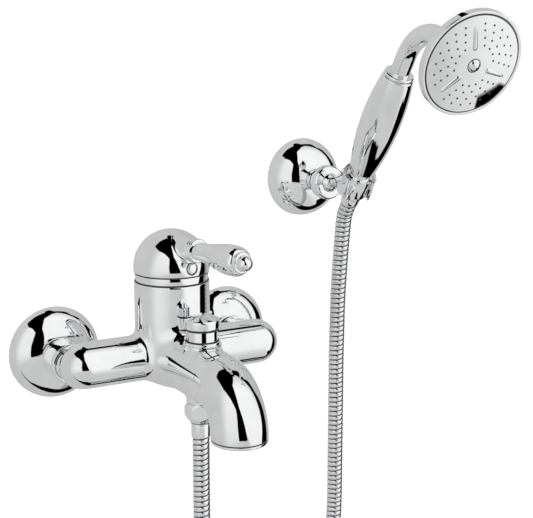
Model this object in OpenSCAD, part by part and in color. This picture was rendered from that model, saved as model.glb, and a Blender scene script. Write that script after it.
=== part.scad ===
// Wall bath mixer with a single lever, a diverter spout, a wall bracket, a ribbed hose and a handset.
// Millimetres. The wall is the plane y = 0 and the mixer stands out from it towards -y, with +z up.
// The origin lies on the wall, midway between the two inlets.

/* [Inlets] */
// Distance between the two wall inlets
inlet_spacing = 150; // [146:1:156]
// Radius of the half-inch pipe thread that screws into the wall
wall_thread_r = 10.48; // [10:0.02:10.6]
// Depth of that thread in the wall
wall_thread = 14; // [8:1:24]
// Radius of the union's barrel
union_r = 10.5; // [10:0.1:11]
// Bore radius of the union
union_bore_r = 7.5; // [5:0.5:8.5]
// Radius of the flange at the union's outer end
flange_r = 12.5; // [12:0.1:13]
// Thickness of that flange
flange_h = 3; // [2:0.5:5]
// Thickness of the inlet washer
inlet_washer_h = 2; // [1:0.5:3]
// Radius of the union nut
union_nut_r = 15.3; // [15:0.1:17]
// Gap between the union nut and the arm
nut_arm_gap = 2.4; // [1.5:0.1:5]
// Distance from the wall to the union nut
union_nut_start = 20; // [19.5:0.5:21]
// Thickness of the nut's lip behind the flange
union_nut_lip = 4; // [2:0.5:5]
// Radius of a mixer rosette
rosette_r = 36.5; // [30:0.5:44]
// Depth of a mixer rosette
rosette_h = 19; // [12:1:19]
// Wall of the rosettes
rosette_wall = 1.6; // [1:0.1:3]

/* [Body] */
// Distance from the wall to the column and arm axes
body_depth = 62; // [60:1:72]
// Height of the arm axis above the inlets
arm_rise = 4; // [0:0.5:6]
// Radius of the arms
arm_r = 17.6; // [17:0.1:20]
// Distance from an inlet's axis to the arm's round end
arm_end = 15; // [14:0.5:22]
// Radius of the water bore in an arm
arm_bore_r = 12; // [8:0.5:13]
// Radius of the threaded inlet boss behind an arm
boss_r = 13; // [12.5:0.1:13.5]
// Radius of the column
column_r = 28.75; // [28.5:0.25:34]
// Height of the column's top face
column_top = 61.75; // [61:0.25:62]
// Depth of the rounded foot of the column below the arm axis
column_foot = 23; // [20:1:30]

/* [Cartridge] */
// Radius of the cartridge
cartridge_r = 20; // [19:0.5:22]
// Height of the cartridge's seat in the column
cartridge_seat = 24; // [22:0.5:26]
// Thickness of the cartridge base
cartridge_base_h = 12; // [10:0.5:13]
// Radius of the ports in base and seat
port_r = 3.5; // [2:0.25:4]
// Thickness of the fixed ceramic disc
fixed_disc_h = 5; // [3:0.5:6]
// Thickness of the moving ceramic disc
moving_disc_h = 4.5; // [3:0.5:6]
// Radius of the moving ceramic disc
moving_disc_r = 11.5; // [10:0.5:13]
// Height of the lever's tilting pin
pivot_z = 56; // [55.5:0.1:56.5]
// Radius of the tilting pin
pivot_pin_r = 1.5; // [1:0.1:2]
// Side of the square spindle
spindle_side = 9; // [7:0.5:10]
// Radius of the ball at the spindle's lower end
spindle_ball_r = 2.5; // [2:0.1:2.6]
// Distance from the tilting pin down to that ball
spindle_arm = 7.4; // [7:0.1:7.8]
// Radius of the hold-down nut's thread
hold_nut_r = 24; // [23.5:0.25:26]
// Radius of the trim collar
collar_r = 27.9; // [27:0.1:28]
// Height of the trim collar above the column
collar_h = 6.9; // [5:0.1:7]

/* [Lever] */
// Swing of the lever to the right of straight ahead
lever_swing = 8; // [-40:1:40]
// Radius of the dome
dome_r = 29; // [28.9:0.1:31]
// Height of the dome's centre
dome_z = 72.4; // [71.5:0.1:74]
// Height of the dome's rim
dome_rim_z = 69; // [69:0.1:70]
// Radius of the hollow in the dome
dome_hollow_r = 25.5; // [22:0.5:26.5]
// Height of the lever's axis
lever_z = 89.8; // [88:0.1:91]
// Radius of the neck's foot on the dome
neck_foot_r = 11; // [10:0.5:13]
// Distance from the column axis to the neck's rings
neck_ring_start = 31; // [29:0.5:32]
// Radius of the neck's three rings
neck_ring_r = 9.1; // [8.5:0.1:10]
// Distance from the column axis to the handle
handle_start = 38.2; // [38:0.2:40]
// Distance from the column axis to the handle's far end
handle_end = 91; // [84:0.5:110]
// Radius of the handle where it starts
handle_slim_r = 7; // [6.5:0.1:8]
// Radius of the handle at its thick end
handle_thick_r = 11.1; // [9:0.1:13]
// Radius of the ring on the end button
end_ring_r = 8; // [6:0.5:9]
// Radius of the end button
end_button_r = 5.8; // [4:0.2:7]
// Radius of the round index in the dome
index_r = 4.4; // [3.5:0.1:5]
// Height of the index
index_z = 75; // [74.5:0.5:77]

/* [Spout] */
// Height of the spout's axis
spout_z = 2.7; // [0:0.1:6]
// Radius of the spout at the column
spout_root_r = 22.3; // [21.5:0.1:26]
// Radius of the spout at its bend and outlet
spout_r = 20.4; // [19.5:0.1:22]
// Distance from the wall to the start of the bend
spout_bend_start = 140.3; // [139:0.1:150]
// Centre-line radius of the bend
spout_bend_r = 32.5; // [30:0.5:40]
// Radius of the water bore in the bend
spout_bore_r = 14.5; // [12:0.5:16]
// Radius of the aerator's thread in the outlet
aerator_thread_r = 17; // [16.5:0.25:17.5]
// Length of that thread
aerator_thread_len = 8; // [6:0.5:8.5]
// Height of the aerator's visible ring
aerator_ring_h = 3; // [2:0.5:6]

/* [Diverter] */
// Distance from the wall to the diverter's axis
diverter_y = 114.5; // [113:0.5:116]
// Height of the valve chamber's floor
chamber_floor = -11; // [-12:0.5:-10]
// Height of the valve's upper seat
upper_seat = 3; // [2:0.5:4]
// Radius of the valve chamber
chamber_r = 9.5; // [9:0.25:10]
// Radius of the valve disc
valve_r = 9; // [8:0.25:9.2]
// Radius of the diverter rod
rod_r = 3; // [2:0.25:3.5]
// Radius of the raised seat on the spout
diverter_boss_r = 14.3; // [13.5:0.1:16]
// Height of that seat
diverter_boss_z = 24.5; // [24:0.25:26]
// Radius of the bonnet's sleeve
bonnet_r = 11.5; // [10:0.1:13]
// Height of the bonnet's top
bonnet_top = 35; // [33:0.5:38]
// Radius of the pull knob
knob_r = 13.2; // [12:0.2:15]
// Height of the pull knob
knob_h = 10.5; // [8:0.5:14]
// Gap between knob and bonnet
knob_gap = 1; // [0.4:0.1:2]

/* [Shower outlet] */
// Distance from the wall to the shower outlet's axis
shower_y = 110.5; // [110.5:0.5:110.5]
// Radius of the nipple's thread
nipple_r = 8.9; // [8.5:0.1:9]
// Height of the flat under the spout that the nipple screws into
outlet_seat = -21; // [-23:0.5:-20.5]
// Height of the nipple's lower end
nipple_end = -31; // [-34:0.5:-29]
// Width across the flats of the hose nut
hose_nut_flats = 21; // [20.5:0.5:26]
// Height of the hose nut's top
hose_nut_top = -22; // [-24:0.5:-21.5]
// Thickness of the hose washer
hose_washer_h = 2; // [1:0.5:2.5]
// Length of the crimped ferrule below the hose nut
ferrule_len = 11.5; // [8:0.5:11.5]
// Radius of the crimped ferrules
ferrule_r = 7.2; // [6.8:0.1:7.5]

/* [Hose] */
// Outer diameter of the ribbed hose
hose_d = 13; // [10:0.1:13.2]
// Bore diameter of the hose
hose_bore = 8.4; // [6:0.1:9]
// Depth of the grooves between the ribs
rib_depth = 0.8; // [0.3:0.1:1]
// Distance from rib to rib on the straight runs
rib_pitch = 4.6; // [4.6:0.1:6]
// Distance from rib to rib in the coil
coil_rib_pitch = 15; // [15:0.5:18]
// Radius of the coil at the middle of its turns
coil_r = 65; // [65:0.5:65]
// Number of turns in the coil
coil_turns = 2.5; // [2.5:1:2.5]
// Thickness of the tie round the coil
tie_wall = 1.4; // [1:0.1:2]
// Width of the tie
tie_w = 12; // [8:1:20]

/* [Bracket] */
// Distance from the middle of the mixer to the bracket
bracket_x = 151; // [151:1:151]
// Height of the bracket above the inlets
bracket_z = 125; // [125:1:125]
// Radius of the bracket's rosette
bracket_rosette_r = 33; // [30:1:40]
// Depth of the bracket's rosette
bracket_rosette_h = 24; // [16:0.5:28]
// Radius of the back plate
back_plate_r = 24; // [22:0.5:28]
// Thickness of the back plate
back_plate_h = 3; // [2:0.5:4]
// Distance between the two fixing screws
screw_spacing = 32; // [28:1:36]
// Radius of a fixing screw's thread
screw_r = 2.25; // [1.5:0.25:3]
// Depth of a fixing screw in the wall
screw_depth = 28; // [15:1:50]
// Radius of the stem where it leaves the rosette
stem_r = 8.5; // [8:0.1:10]
// Radius of the stem's outer end
stem_end_r = 14; // [13.5:0.5:16]
// Distance from the wall to the ball's centre
ball_y = 44; // [42:0.5:46]
// Radius of the ball
ball_r = 8.4; // [7:0.1:9]

/* [Holder] */
// Distance from the wall to the middle of the cup
cup_y = 89; // [89:1:89]
// Height of the middle of the cup
cup_z = 132; // [132:1:132]
// Tilt of the cup away from the wall
cup_tilt = 32; // [32:1:32]
// Outer radius of the cup at its rim
cup_r = 13.2; // [13:0.1:15]
// Height of the cup above its middle
cup_up = 5; // [4:0.5:7]
// Depth of the cup below its middle
cup_down = 12; // [10:0.5:13]
// Wall of the cup
cup_wall = 2; // [1.5:0.1:2.4]
// Flare of the cup, in radius, from its rim to its bottom
cup_flare = 1.1; // [0:0.1:2]
// Width of the slot in the front of the cup
cup_slot = 14; // [8:0.5:15]

/* [Handset] */
// Turn of the handset in its holder
handset_turn = -4; // [-40:1:40]
// Distance along the handset's axis to the bottom of the grip
grip_start = 10.5; // [9:0.5:12]
// Length of the grip
grip_len = 88; // [80:1:110]
// Radius of the grip at its bottom
grip_low_r = 10.2; // [9.5:0.1:12]
// Radius of the grip at its widest
grip_wide_r = 15.5; // [14:0.1:17]
// Radius of the grip at its top
grip_top_r = 12; // [11.5:0.1:14]
// Rounding of the grip's top edge
grip_lip = 1.5; // [0.5:0.1:2.5]
// Radius of the bead above the grip
bead_r = 11.5; // [9.5:0.1:11.5]
// Height of that bead
bead_h = 3; // [2:0.1:4]
// Radius of the neck tube
neck_r = 7.4; // [6:0.1:8]
// Bore radius of the handset's water way
way_r = 4.5; // [3:0.1:5]
// Centre-line radius of the neck's bend
neck_bend_r = 35; // [24:1:36]
// Angle of the neck's bend
neck_bend = 80.8; // [60:0.2:90]
// Straight length from the grip to the middle of the bend
neck_rise = 46.8; // [40:0.2:54]
// Distance from the middle of the bend to the spray face
head_reach = 73.2; // [70:0.2:84]
// Radius of the spray head
head_r = 38; // [34:0.5:46]
// Depth of the head's straight rim
head_rim_h = 3; // [2.5:0.1:6]
// Depth of the domed back of the head
head_back_h = 14; // [9:0.5:17]
// Wall of the head
head_wall = 2; // [1.2:0.1:3]
// Rise of the spray plate from its edge to its middle
plate_rise = 2.2; // [1:0.1:4]
// Turn of the spray pattern
spray_turn = 15; // [0:1:60]
// Radius of a spray hole
spray_hole_r = 0.6; // [0.4:0.05:0.8]
// Height of the three ribs on the spray plate
spray_rib_h = 1; // [0.4:0.1:2]
// Width of those ribs
spray_rib_w = 2.4; // [1:0.1:4]

/* [Hidden] */

$fn = 64;
// Extra length of a cutting shape past the face that it opens
cut = 1;
// Clearance of a thread or a loose fit
fit_gap = 0.15;
// Clearance of a shaft that turns or slides
run_gap = 0.05;
// Clearance between curved faces of pieces that move past each other
move_gap = 0.3;
// Clearance of a square or pressed socket
socket_gap = 0.1;

// Inlets: a groove parts the wall thread from the barrel
thread_relief = 2;
thread_relief_r = wall_thread_r - 0.9;
union_nut_len = body_depth - arm_r - nut_arm_gap - union_nut_start;
flange_start = union_nut_start + union_nut_lip;
washer_start = flange_start + flange_h;
boss_start = washer_start + inlet_washer_h;
rosette_hole_r = union_r + 1;

// Body: arms, and the passages for mixed water to the diverter and on to the spout
arm_reach = inlet_spacing / 2 + arm_end;
mixed_way_z = chamber_floor + 7;
mixed_way_low = chamber_floor + 4;
spout_way_r = 4;
spout_way_z = upper_seat + 4.6;
outlet_z = spout_z - spout_bend_r;
outlet_y = spout_bend_start + spout_bend_r;

// Cartridge
cavity_r = cartridge_r + fit_gap;
base_top = cartridge_seat + cartridge_base_h;
port_x = 13;
outlet_port_y = 12;
seal_h = 1.5;
seal_r = port_r + 2;
moving_disc_z = base_top + fixed_disc_h;
pocket_depth = 2;
pocket_wall = 3;
driver_z = moving_disc_z + moving_disc_h;
driver_w = 16;
driver_d = 12;
driver_h = 4.5;
ball_z = pivot_z - spindle_arm;
ball_gap = 0.2;
spindle_foot = 4;
spindle_stalk_r = 1.9;
spindle_top = dome_z + 16;
carrier_bottom = driver_z + driver_h + 0.5;
carrier_flange_r = 15.5;
carrier_neck_r = 13;
carrier_slot = 18;
housing_bore_r = 16.5;
housing_lip_z = pivot_z + 1.8;
housing_top = housing_lip_z + 3;
carrier_top = housing_top + 1;
pivot_pin_len = 28;
hold_nut_start = housing_top - 11;
hold_nut_gap = 0.2;
hold_nut_neck_r = 20.4;
hold_nut_hole_r = 16;
hold_nut_top = column_top + collar_h - 1.5;

// Lever: dome, its boss on the spindle, set screw, index, neck, handle and end button
dome_recess_r = collar_r + move_gap;
dome_recess_top = dome_rim_z + 5;
dome_boss_r = 9;
dome_boss_z = dome_rim_z + 1.5;
dome_boss_under = 1;
set_screw_r = 2.4;
set_screw_len = 8;
set_screw_key_r = 1.4;
set_screw_key = 3;
index_seat = 2;
index_h = 2.1;
index_start = dome_r - index_seat + socket_gap;
index_foot_r = 2.3;
index_foot = 2;
lever_pin_r = 5;
lever_pin_hole = dome_boss_r + 2;
lever_pin_start = dome_boss_r + 8;
lever_pin_end = handle_end - 10;
neck_start = dome_boss_r + 6;
neck_slim_r = 7.5;
neck_cove = 5;
neck_cove_gap = 0.5;
neck_ring_bulge = 1.2;
neck_rings = 3;
handle_flare = 4;
handle_belly = 10;
handle_shoulder = 7;
handle_end_r = end_ring_r - 0.5;
end_ring_h = 2.4;
end_button_rise = 4.2;
button_pin_r = 3;
button_pin_len = 5;

// Aerator
aerator_thread_depth = aerator_thread_len + 3;
aerator_ring_r = spout_r - 0.2;
aerator_bore_r = aerator_thread_r - 2;
aerator_washer_h = 2;
insert_inset = 1;
insert_floor = 2;
insert_bore_r = aerator_thread_r - 4;
insert_row_step = 3.8;
insert_rows = 3;
insert_hole_r = 0.9;

// Diverter
valve_washer_h = 2;
valve_disc_h = 2.5;
bonnet_thread_r = 9;
bonnet_thread_z = 12;
bonnet_thread_gap = 0.5;
bonnet_flange_h = 2;
bonnet_flange_r = diverter_boss_r - 0.8;
upper_chamber_r = 7.5;
bonnet_recess = 4;
bonnet_recess_r = upper_chamber_r - 2;
knob_z = bonnet_top + knob_gap;
knob_edge = 1;
knob_shoulder = 2;
knob_crown = 4;
knob_crown_r = knob_r - 3;
rod_low = chamber_floor + 0.5;
rod_top = knob_z + knob_h - knob_crown;
rod_press = 0.02;
oring_z = bonnet_top - 7;
oring_h = 2;
oring_r = rod_r + 2;

// Shower outlet
outlet_boss_r = nipple_r + 1.7;
nipple_shank_r = 7.5;
nipple_shank_z = chamber_floor - 2;
nipple_bore_r = 5;
hose_washer_z = nipple_end - hose_washer_h;
ferrule_flange_h = 2;
ferrule_flange_z = hose_washer_z - ferrule_flange_h;
hose_nut_lip = 1.5;
hose_nut_end = ferrule_flange_z - hose_nut_lip;
hose_nut_low_chamfer = [4, 5];
hose_nut_top_chamfer = [1.8, 3];
hose_start_z = hose_nut_end - ferrule_len;

// Bracket and holder
hub_r = 7;
hub_len = 9;
screw_shank_r = screw_r - 0.35;
screw_head_r = 2 * screw_r;
screw_head_h = 2.4;
screw_slot = 1.2;
screw_slot_w = 1;
stem_flare_end = ball_y - 5;
ring_start = ball_y + 1;
ring_len = 3;
ring_chamfer = 1.5;
ring_hole_r = 7.6;
holder_neck_r = 4.5;
holder_neck_start = ball_r + 3;
holder_flare_r = cup_r - 1;
cup_bottom_r = cup_r + cup_flare;
cup_hole_r = cup_r - cup_wall;
cup_hole_low_r = cup_hole_r - 0.5;

// Handset
cone_top_r = cup_hole_r - move_gap;
cone_bottom_r = cup_hole_low_r - move_gap;
cone_tail_r = 8;
cone_tail = 4;
cone_end = -cup_down - cone_tail;
ferrule_end = cone_end - 5.9;
spigot_r = cone_tail_r - 2;
spigot_len = 4;
spigot_hole = 6;
handset_washer_z = cone_end + spigot_len + 0.2;
handset_washer_h = 1.7;
grip_end = grip_start + grip_len;
grip_wide_at = grip_start + 0.55 * grip_len;
bend_z = grip_end + neck_rise;
bend_tangent = neck_bend_r * tan(neck_bend / 2);
bend_lap = 1;
bend_more_r = 0.05;
head_back = head_reach - head_rim_h - head_back_h;
head_foot_r = neck_r + 1.6;
spray_plate_h = 2;
spray_plate_r = head_r - head_wall;
plate_top = head_reach + plate_rise;
gasket_h = 1.5;
gasket_r = spray_plate_r - 2.2;
gasket_hole_r = spray_plate_r - 6;
spray_ring_r = [15, 20, 25, 29.5];
spray_ring_holes = [4, 5, 6, 7];
spray_sectors = 3;
spray_rib_start = 11;
spray_rib_end = 28;
spray_rib_clear = 7.4;
spray_screw_r = 4.6;
spray_screw_h = 2.4;
spray_screw_shank_r = 2;
spray_screw_len = 10;
spray_screw_slot = 6;
spray_screw_slot_w = 1;

// Route of the hose from the shower outlet down to the coil
outlet_route = [
    [0, -110.5, -48], [0, -110.5, -61], [0, -110.5, -76], [0, -110.5, -92], [0, -110.5, -108],
    [0, -110.5, -124], [0.4, -110.3, -141], [2.3, -109, -159], [5.3, -106.6, -179], [8.1, -104, -200],
    [9.7, -102.7, -220], [10, -102.5, -238], [10, -102.5, -253]];
// Route of the hose from the coil up to the holder
riser_route = [
    [140, -67.5, -253], [140, -67.5, -238], [140.8, -67, -220], [143.4, -65, -202], [146.8, -62.6, -184],
    [149.4, -61, -167], [150.7, -60.2, -151], [151, -60, -136], [151, -60, -120], [151, -60, -100],
    [151, -60, -80], [151, -60, -60], [151, -60, -40], [151, -60, -20], [151, -60.5, 0], [151, -61, 20],
    [151, -62, 38], [151, -63.5, 54], [151, -65, 68], [151, -66.5, 80], [151, -68, 91],
    [151, -70.5, 102.4], [151, -77.3, 113.4]];
coil_start = outlet_route[len(outlet_route) - 1];
coil_end = riser_route[0];
coil_x = coil_start[0] + coil_r;
coil_z = coil_start[2];
coil_pitch = (coil_end[1] - coil_start[1]) / coil_turns;
ring_sides = 8;
bore_every = 4;

function arc(x, y, rx, ry, from, to, steps = 16) =
    [for (i = [0 : steps]) let (a = from + (to - from) * i / steps) [x + rx * cos(a), y + ry * sin(a)]];
function unit(v) = v / norm(v);

// Distance from the wall becomes the local z axis
module from_wall(x = 0, z = 0) {
    translate([x, 0, z]) rotate([90, 0, 0]) children();
}

module at_inlet(side) {
    from_wall(side * inlet_spacing / 2) children();
}

module at_column() {
    translate([0, -body_depth, 0]) children();
}

// The cartridge parts that turn with the lever
module with_lever() {
    at_column() rotate([0, 0, lever_swing]) children();
}

// The lever's own frame: local z runs outwards along the lever from the column axis
module along_lever(z) {
    with_lever() translate([0, 0, z]) rotate([90, 0, 0]) children();
}

module at_diverter() {
    translate([0, -diverter_y, 0]) children();
}

module at_shower_outlet() {
    translate([0, -shower_y, 0]) children();
}

module at_spout_outlet() {
    translate([0, -outlet_y, outlet_z]) children();
}

// The cup's frame: local z runs up along the cup's axis
module in_cup() {
    translate([bracket_x, -cup_y, cup_z]) rotate([cup_tilt, 0, 0]) children();
}

module in_handset() {
    in_cup() rotate([0, 0, handset_turn]) children();
}

// The head's frame: local z runs out of the spray face
module in_head() {
    in_handset() translate([0, 0, bend_z]) rotate([neck_bend, 0, 0]) children();
}

module disc(z, h, r) {
    translate([0, 0, z]) cylinder(h = h, r = r);
}

module tube(z, h, r, bore) {
    difference() {
        disc(z, h, r);
        disc(z - cut, h + 2 * cut, bore);
    }
}

// Inlets
module inlet_union(side) {
    color("silver") at_inlet(side) difference() {
        union() {
            disc(-wall_thread, wall_thread, wall_thread_r);
            disc(-cut, thread_relief + 2 * cut, thread_relief_r);
            disc(thread_relief, flange_start - thread_relief, union_r);
            disc(flange_start, flange_h, flange_r);
        }
        disc(-wall_thread - cut, wall_thread + washer_start + 2 * cut, union_bore_r);
    }
}

module left_inlet_union() { inlet_union(-1); }

module right_inlet_union() { inlet_union(1); }

module union_nut(side) {
    color("gainsboro") at_inlet(side) difference() {
        disc(union_nut_start, union_nut_len, union_nut_r);
        disc(union_nut_start - cut, union_nut_len, union_r + fit_gap);
        disc(flange_start, union_nut_len, boss_r + fit_gap);
    }
}

module left_union_nut() { union_nut(-1); }

module right_union_nut() { union_nut(1); }

module inlet_washers() {
    color("dimgray") for (side = [-1, 1])
        at_inlet(side) tube(washer_start, inlet_washer_h, flange_r, union_bore_r);
}

// A domed cover with a round hole in its middle
module rosette(r, h, hole_r) {
    rotate_extrude() polygon(concat(
        arc(hole_r, 0, r - hole_r, h, 0, 90),
        arc(hole_r, 0, r - hole_r - rosette_wall, h - rosette_wall, 90, 0)));
}

module left_rosette() {
    color("gainsboro") at_inlet(-1) rosette(rosette_r, rosette_h, rosette_hole_r);
}

module right_rosette() {
    color("gainsboro") at_inlet(1) rosette(rosette_r, rosette_h, rosette_hole_r);
}

// Body casting
module column_solid() {
    at_column() rotate_extrude() polygon(concat(
        arc(0, arm_rise, column_r, column_foot, -90, 0),
        [[column_r, column_top], [0, column_top]]));
}

module arms_solid() {
    end = arm_reach - arm_r;
    at_column() translate([0, 0, arm_rise]) rotate([0, 90, 0]) rotate_extrude() polygon(concat(
        arc(0, -end, arm_r, arm_r, -90, 0),
        arc(0, end, arm_r, arm_r, 0, 90)));
}

module spout_solid() {
    from_wall(0, spout_z) translate([0, 0, body_depth])
        cylinder(h = spout_bend_start - body_depth, r1 = spout_root_r, r2 = spout_r);
    spout_bend(spout_r);
}

// Quarter bend from level to straight down
module spout_bend(r) {
    translate([0, -spout_bend_start, outlet_z]) rotate([90, 0, 0]) rotate([90, 0, 90])
        rotate_extrude(angle = 90) translate([spout_bend_r, 0]) circle(r = r);
}

module mixer_body() {
    color("gainsboro") difference() {
        union() {
            column_solid();
            arms_solid();
            spout_solid();
            for (side = [-1, 1])
                at_inlet(side) disc(boss_start, body_depth - boss_start, boss_r);
            at_diverter() disc(spout_z, diverter_boss_z - spout_z, diverter_boss_r);
            at_shower_outlet() disc(outlet_seat, spout_z - outlet_seat, outlet_boss_r);
        }
        supply_cuts();
        mixed_water_cuts();
        diverter_cuts();
        spout_cuts();
    }
}

// Hot and cold water: in at the inlet bosses, along the arms and up to the cartridge seat
module supply_cuts() {
    for (side = [-1, 1]) {
        at_inlet(side) disc(boss_start - cut, body_depth - boss_start + cut, union_bore_r);
        at_column() translate([side * (port_x - port_r), 0, arm_rise]) rotate([0, side * 90, 0])
            cylinder(h = inlet_spacing / 2 - port_x + port_r, r = arm_bore_r);
        at_column() translate([side * port_x, 0, 0]) disc(arm_rise, cartridge_seat, port_r);
    }
    at_column() disc(cartridge_seat, column_top, cavity_r);
    at_column() disc(hold_nut_start, column_top, hold_nut_r + fit_gap);
}

module mixed_water_cuts() {
    way_start = body_depth + outlet_port_y;
    at_column() translate([0, -outlet_port_y, 0]) disc(mixed_way_low, cartridge_seat, port_r);
    from_wall(0, mixed_way_z) disc(way_start, diverter_y - way_start, port_r);
}

module diverter_cuts() {
    at_diverter() {
        disc(chamber_floor, upper_seat - chamber_floor, chamber_r);
        disc(upper_seat - cut, bonnet_thread_z, upper_chamber_r);
        disc(bonnet_thread_z, diverter_boss_z, bonnet_thread_r + fit_gap);
    }
    at_shower_outlet() {
        disc(nipple_shank_z - cut, chamber_floor - nipple_shank_z + 2 * cut, nipple_bore_r);
        disc(outlet_seat - cut, nipple_shank_z - outlet_seat + cut, nipple_shank_r + fit_gap);
    }
}

module spout_cuts() {
    from_wall(0, spout_way_z)
        disc(diverter_y, spout_bend_start - diverter_y + spout_bore_r / 2, spout_way_r);
    spout_bend(spout_bore_r);
    at_spout_outlet() disc(-cut, aerator_thread_depth + cut, aerator_thread_r + fit_gap);
}

// Aerator
module aerator_housing() {
    color("gainsboro") at_spout_outlet() difference() {
        union() {
            disc(-aerator_ring_h, aerator_ring_h, aerator_ring_r);
            disc(-cut, cut + aerator_thread_len, aerator_thread_r);
        }
        disc(-aerator_ring_h - cut, aerator_ring_h + aerator_thread_len + 2 * cut, aerator_bore_r);
    }
}

module aerator_insert() {
    start = insert_inset - aerator_ring_h;
    color("white") at_spout_outlet() difference() {
        disc(start, aerator_thread_len - start, aerator_bore_r - fit_gap);
        disc(insert_floor, aerator_thread_len, insert_bore_r);
        disc(start - cut, aerator_thread_len, insert_hole_r);
        for (row = [1 : insert_rows]) for (i = [1 : 6 * row])
            rotate([0, 0, i * 60 / row]) translate([row * insert_row_step, 0, 0])
                disc(start - cut, aerator_thread_len, insert_hole_r);
    }
}

module aerator_washer() {
    color("dimgray") at_spout_outlet()
        tube(aerator_thread_len, aerator_washer_h, aerator_thread_r, insert_bore_r);
}

// Cartridge
module port_holes(z, h, r) {
    for (side = [-1, 1])
        translate([side * port_x, 0, 0]) disc(z, h, r);
    translate([0, -outlet_port_y, 0]) disc(z, h, r);
}

module cartridge_base() {
    color("whitesmoke") at_column() difference() {
        disc(cartridge_seat, cartridge_base_h, cartridge_r);
        port_holes(cartridge_seat - cut, cartridge_base_h + 2 * cut, port_r);
        port_holes(cartridge_seat - cut, cut + seal_h, seal_r);
    }
}

module cartridge_seals() {
    color("dimgray") at_column() difference() {
        port_holes(cartridge_seat, seal_h, seal_r);
        port_holes(cartridge_seat - cut, seal_h + 2 * cut, port_r);
    }
}

module cartridge_housing() {
    color("whitesmoke") at_column() difference() {
        disc(base_top, housing_top - base_top, cartridge_r);
        disc(base_top - cut, housing_lip_z - base_top + cut, housing_bore_r);
        disc(base_top, housing_top, carrier_neck_r + run_gap);
    }
}

module fixed_disc() {
    color("linen") at_column() difference() {
        disc(base_top, fixed_disc_h, housing_bore_r - fit_gap);
        port_holes(base_top - cut, fixed_disc_h + 2 * cut, port_r);
    }
}

// The moving disc has a mixing pocket below and a driver block above that takes the spindle's ball
module moving_disc() {
    slot = 2 * (spindle_ball_r + ball_gap);
    color("linen") with_lever() difference() {
        union() {
            disc(moving_disc_z, moving_disc_h, moving_disc_r);
            translate([-driver_w / 2, -driver_d / 2, driver_z]) cube([driver_w, driver_d, driver_h]);
        }
        disc(moving_disc_z - cut, cut + pocket_depth, moving_disc_r - pocket_wall);
        translate([-slot / 2, -slot / 2, ball_z - slot / 2]) cube([slot, slot, 2 * driver_h]);
    }
}

// A hole along the tilting pin, right through the stem carrier
module pivot_hole(r) {
    half = carrier_flange_r + cut;
    translate([-half, 0, pivot_z]) rotate([0, 90, 0]) cylinder(h = 2 * half, r = r);
}

module stem_carrier() {
    slot_w = spindle_side + move_gap;
    color("whitesmoke") with_lever() difference() {
        union() {
            disc(carrier_bottom, housing_lip_z - socket_gap - carrier_bottom, carrier_flange_r);
            disc(carrier_bottom, carrier_top - carrier_bottom, carrier_neck_r);
        }
        translate([-slot_w / 2, -carrier_slot / 2, carrier_bottom - cut])
            cube([slot_w, carrier_slot, carrier_top - carrier_bottom + 2 * cut]);
        pivot_hole(pivot_pin_r);
    }
}

module pivot_pin() {
    color("silver") with_lever() translate([-pivot_pin_len / 2, 0, pivot_z]) rotate([0, 90, 0])
        cylinder(h = pivot_pin_len, r = pivot_pin_r);
}

module spindle() {
    s = spindle_side;
    foot = pivot_z - spindle_foot;
    color("goldenrod") with_lever() difference() {
        union() {
            translate([-s / 2, -s / 2, foot]) cube([s, s, spindle_top - foot]);
            disc(ball_z, pivot_z - ball_z, spindle_stalk_r);
            translate([0, 0, ball_z]) sphere(r = spindle_ball_r);
        }
        pivot_hole(pivot_pin_r + run_gap);
    }
}

module cartridge_nut() {
    start = hold_nut_start + hold_nut_gap;
    color("goldenrod") at_column() difference() {
        union() {
            disc(start, column_top - start, hold_nut_r);
            disc(column_top - cut, hold_nut_top - column_top + cut, hold_nut_neck_r);
        }
        disc(start - cut, housing_top - start + cut, cavity_r);
        disc(start - cut, hold_nut_top - start + 2 * cut, hold_nut_hole_r);
    }
}

module trim_collar() {
    color("gainsboro") at_column() tube(column_top, collar_h, collar_r, hold_nut_neck_r + fit_gap);
}

// Lever
module dome_solid(r) {
    at_column() translate([0, 0, dome_z]) sphere(r = r);
}

module dome_cap() {
    s = spindle_side + socket_gap;
    color("gainsboro") difference() {
        union() {
            difference() {
                intersection() {
                    dome_solid(dome_r);
                    at_column() disc(dome_rim_z, 2 * dome_r, 2 * dome_r);
                }
                dome_solid(dome_hollow_r);
                at_column() disc(dome_rim_z - cut, dome_recess_top - dome_rim_z + cut, dome_recess_r);
            }
            intersection() {
                dome_solid(dome_r - dome_boss_under);
                at_column() disc(dome_boss_z, dome_r, dome_boss_r);
            }
        }
        with_lever() translate([-s / 2, -s / 2, dome_boss_z - cut])
            cube([s, s, spindle_top - dome_boss_z + cut + socket_gap]);
        along_lever(index_z) disc(0, dome_r + cut, set_screw_r + socket_gap);
        along_lever(index_z) disc(dome_r - index_seat, dome_r, index_r + socket_gap);
        along_lever(lever_z) disc(lever_pin_hole, dome_r, lever_pin_r + run_gap);
    }
}

module set_screw() {
    start = spindle_side / 2 + socket_gap;
    color("dimgray") along_lever(index_z) difference() {
        disc(start, set_screw_len, set_screw_r);
        translate([0, 0, start + set_screw_len - set_screw_key])
            cylinder(h = set_screw_key + cut, r = set_screw_key_r, $fn = 6);
    }
}

module index_button() {
    color("white") along_lever(index_z) {
        disc(index_start, index_h, index_r);
        disc(index_start - index_foot, index_foot + socket_gap, index_foot_r);
    }
}

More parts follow.
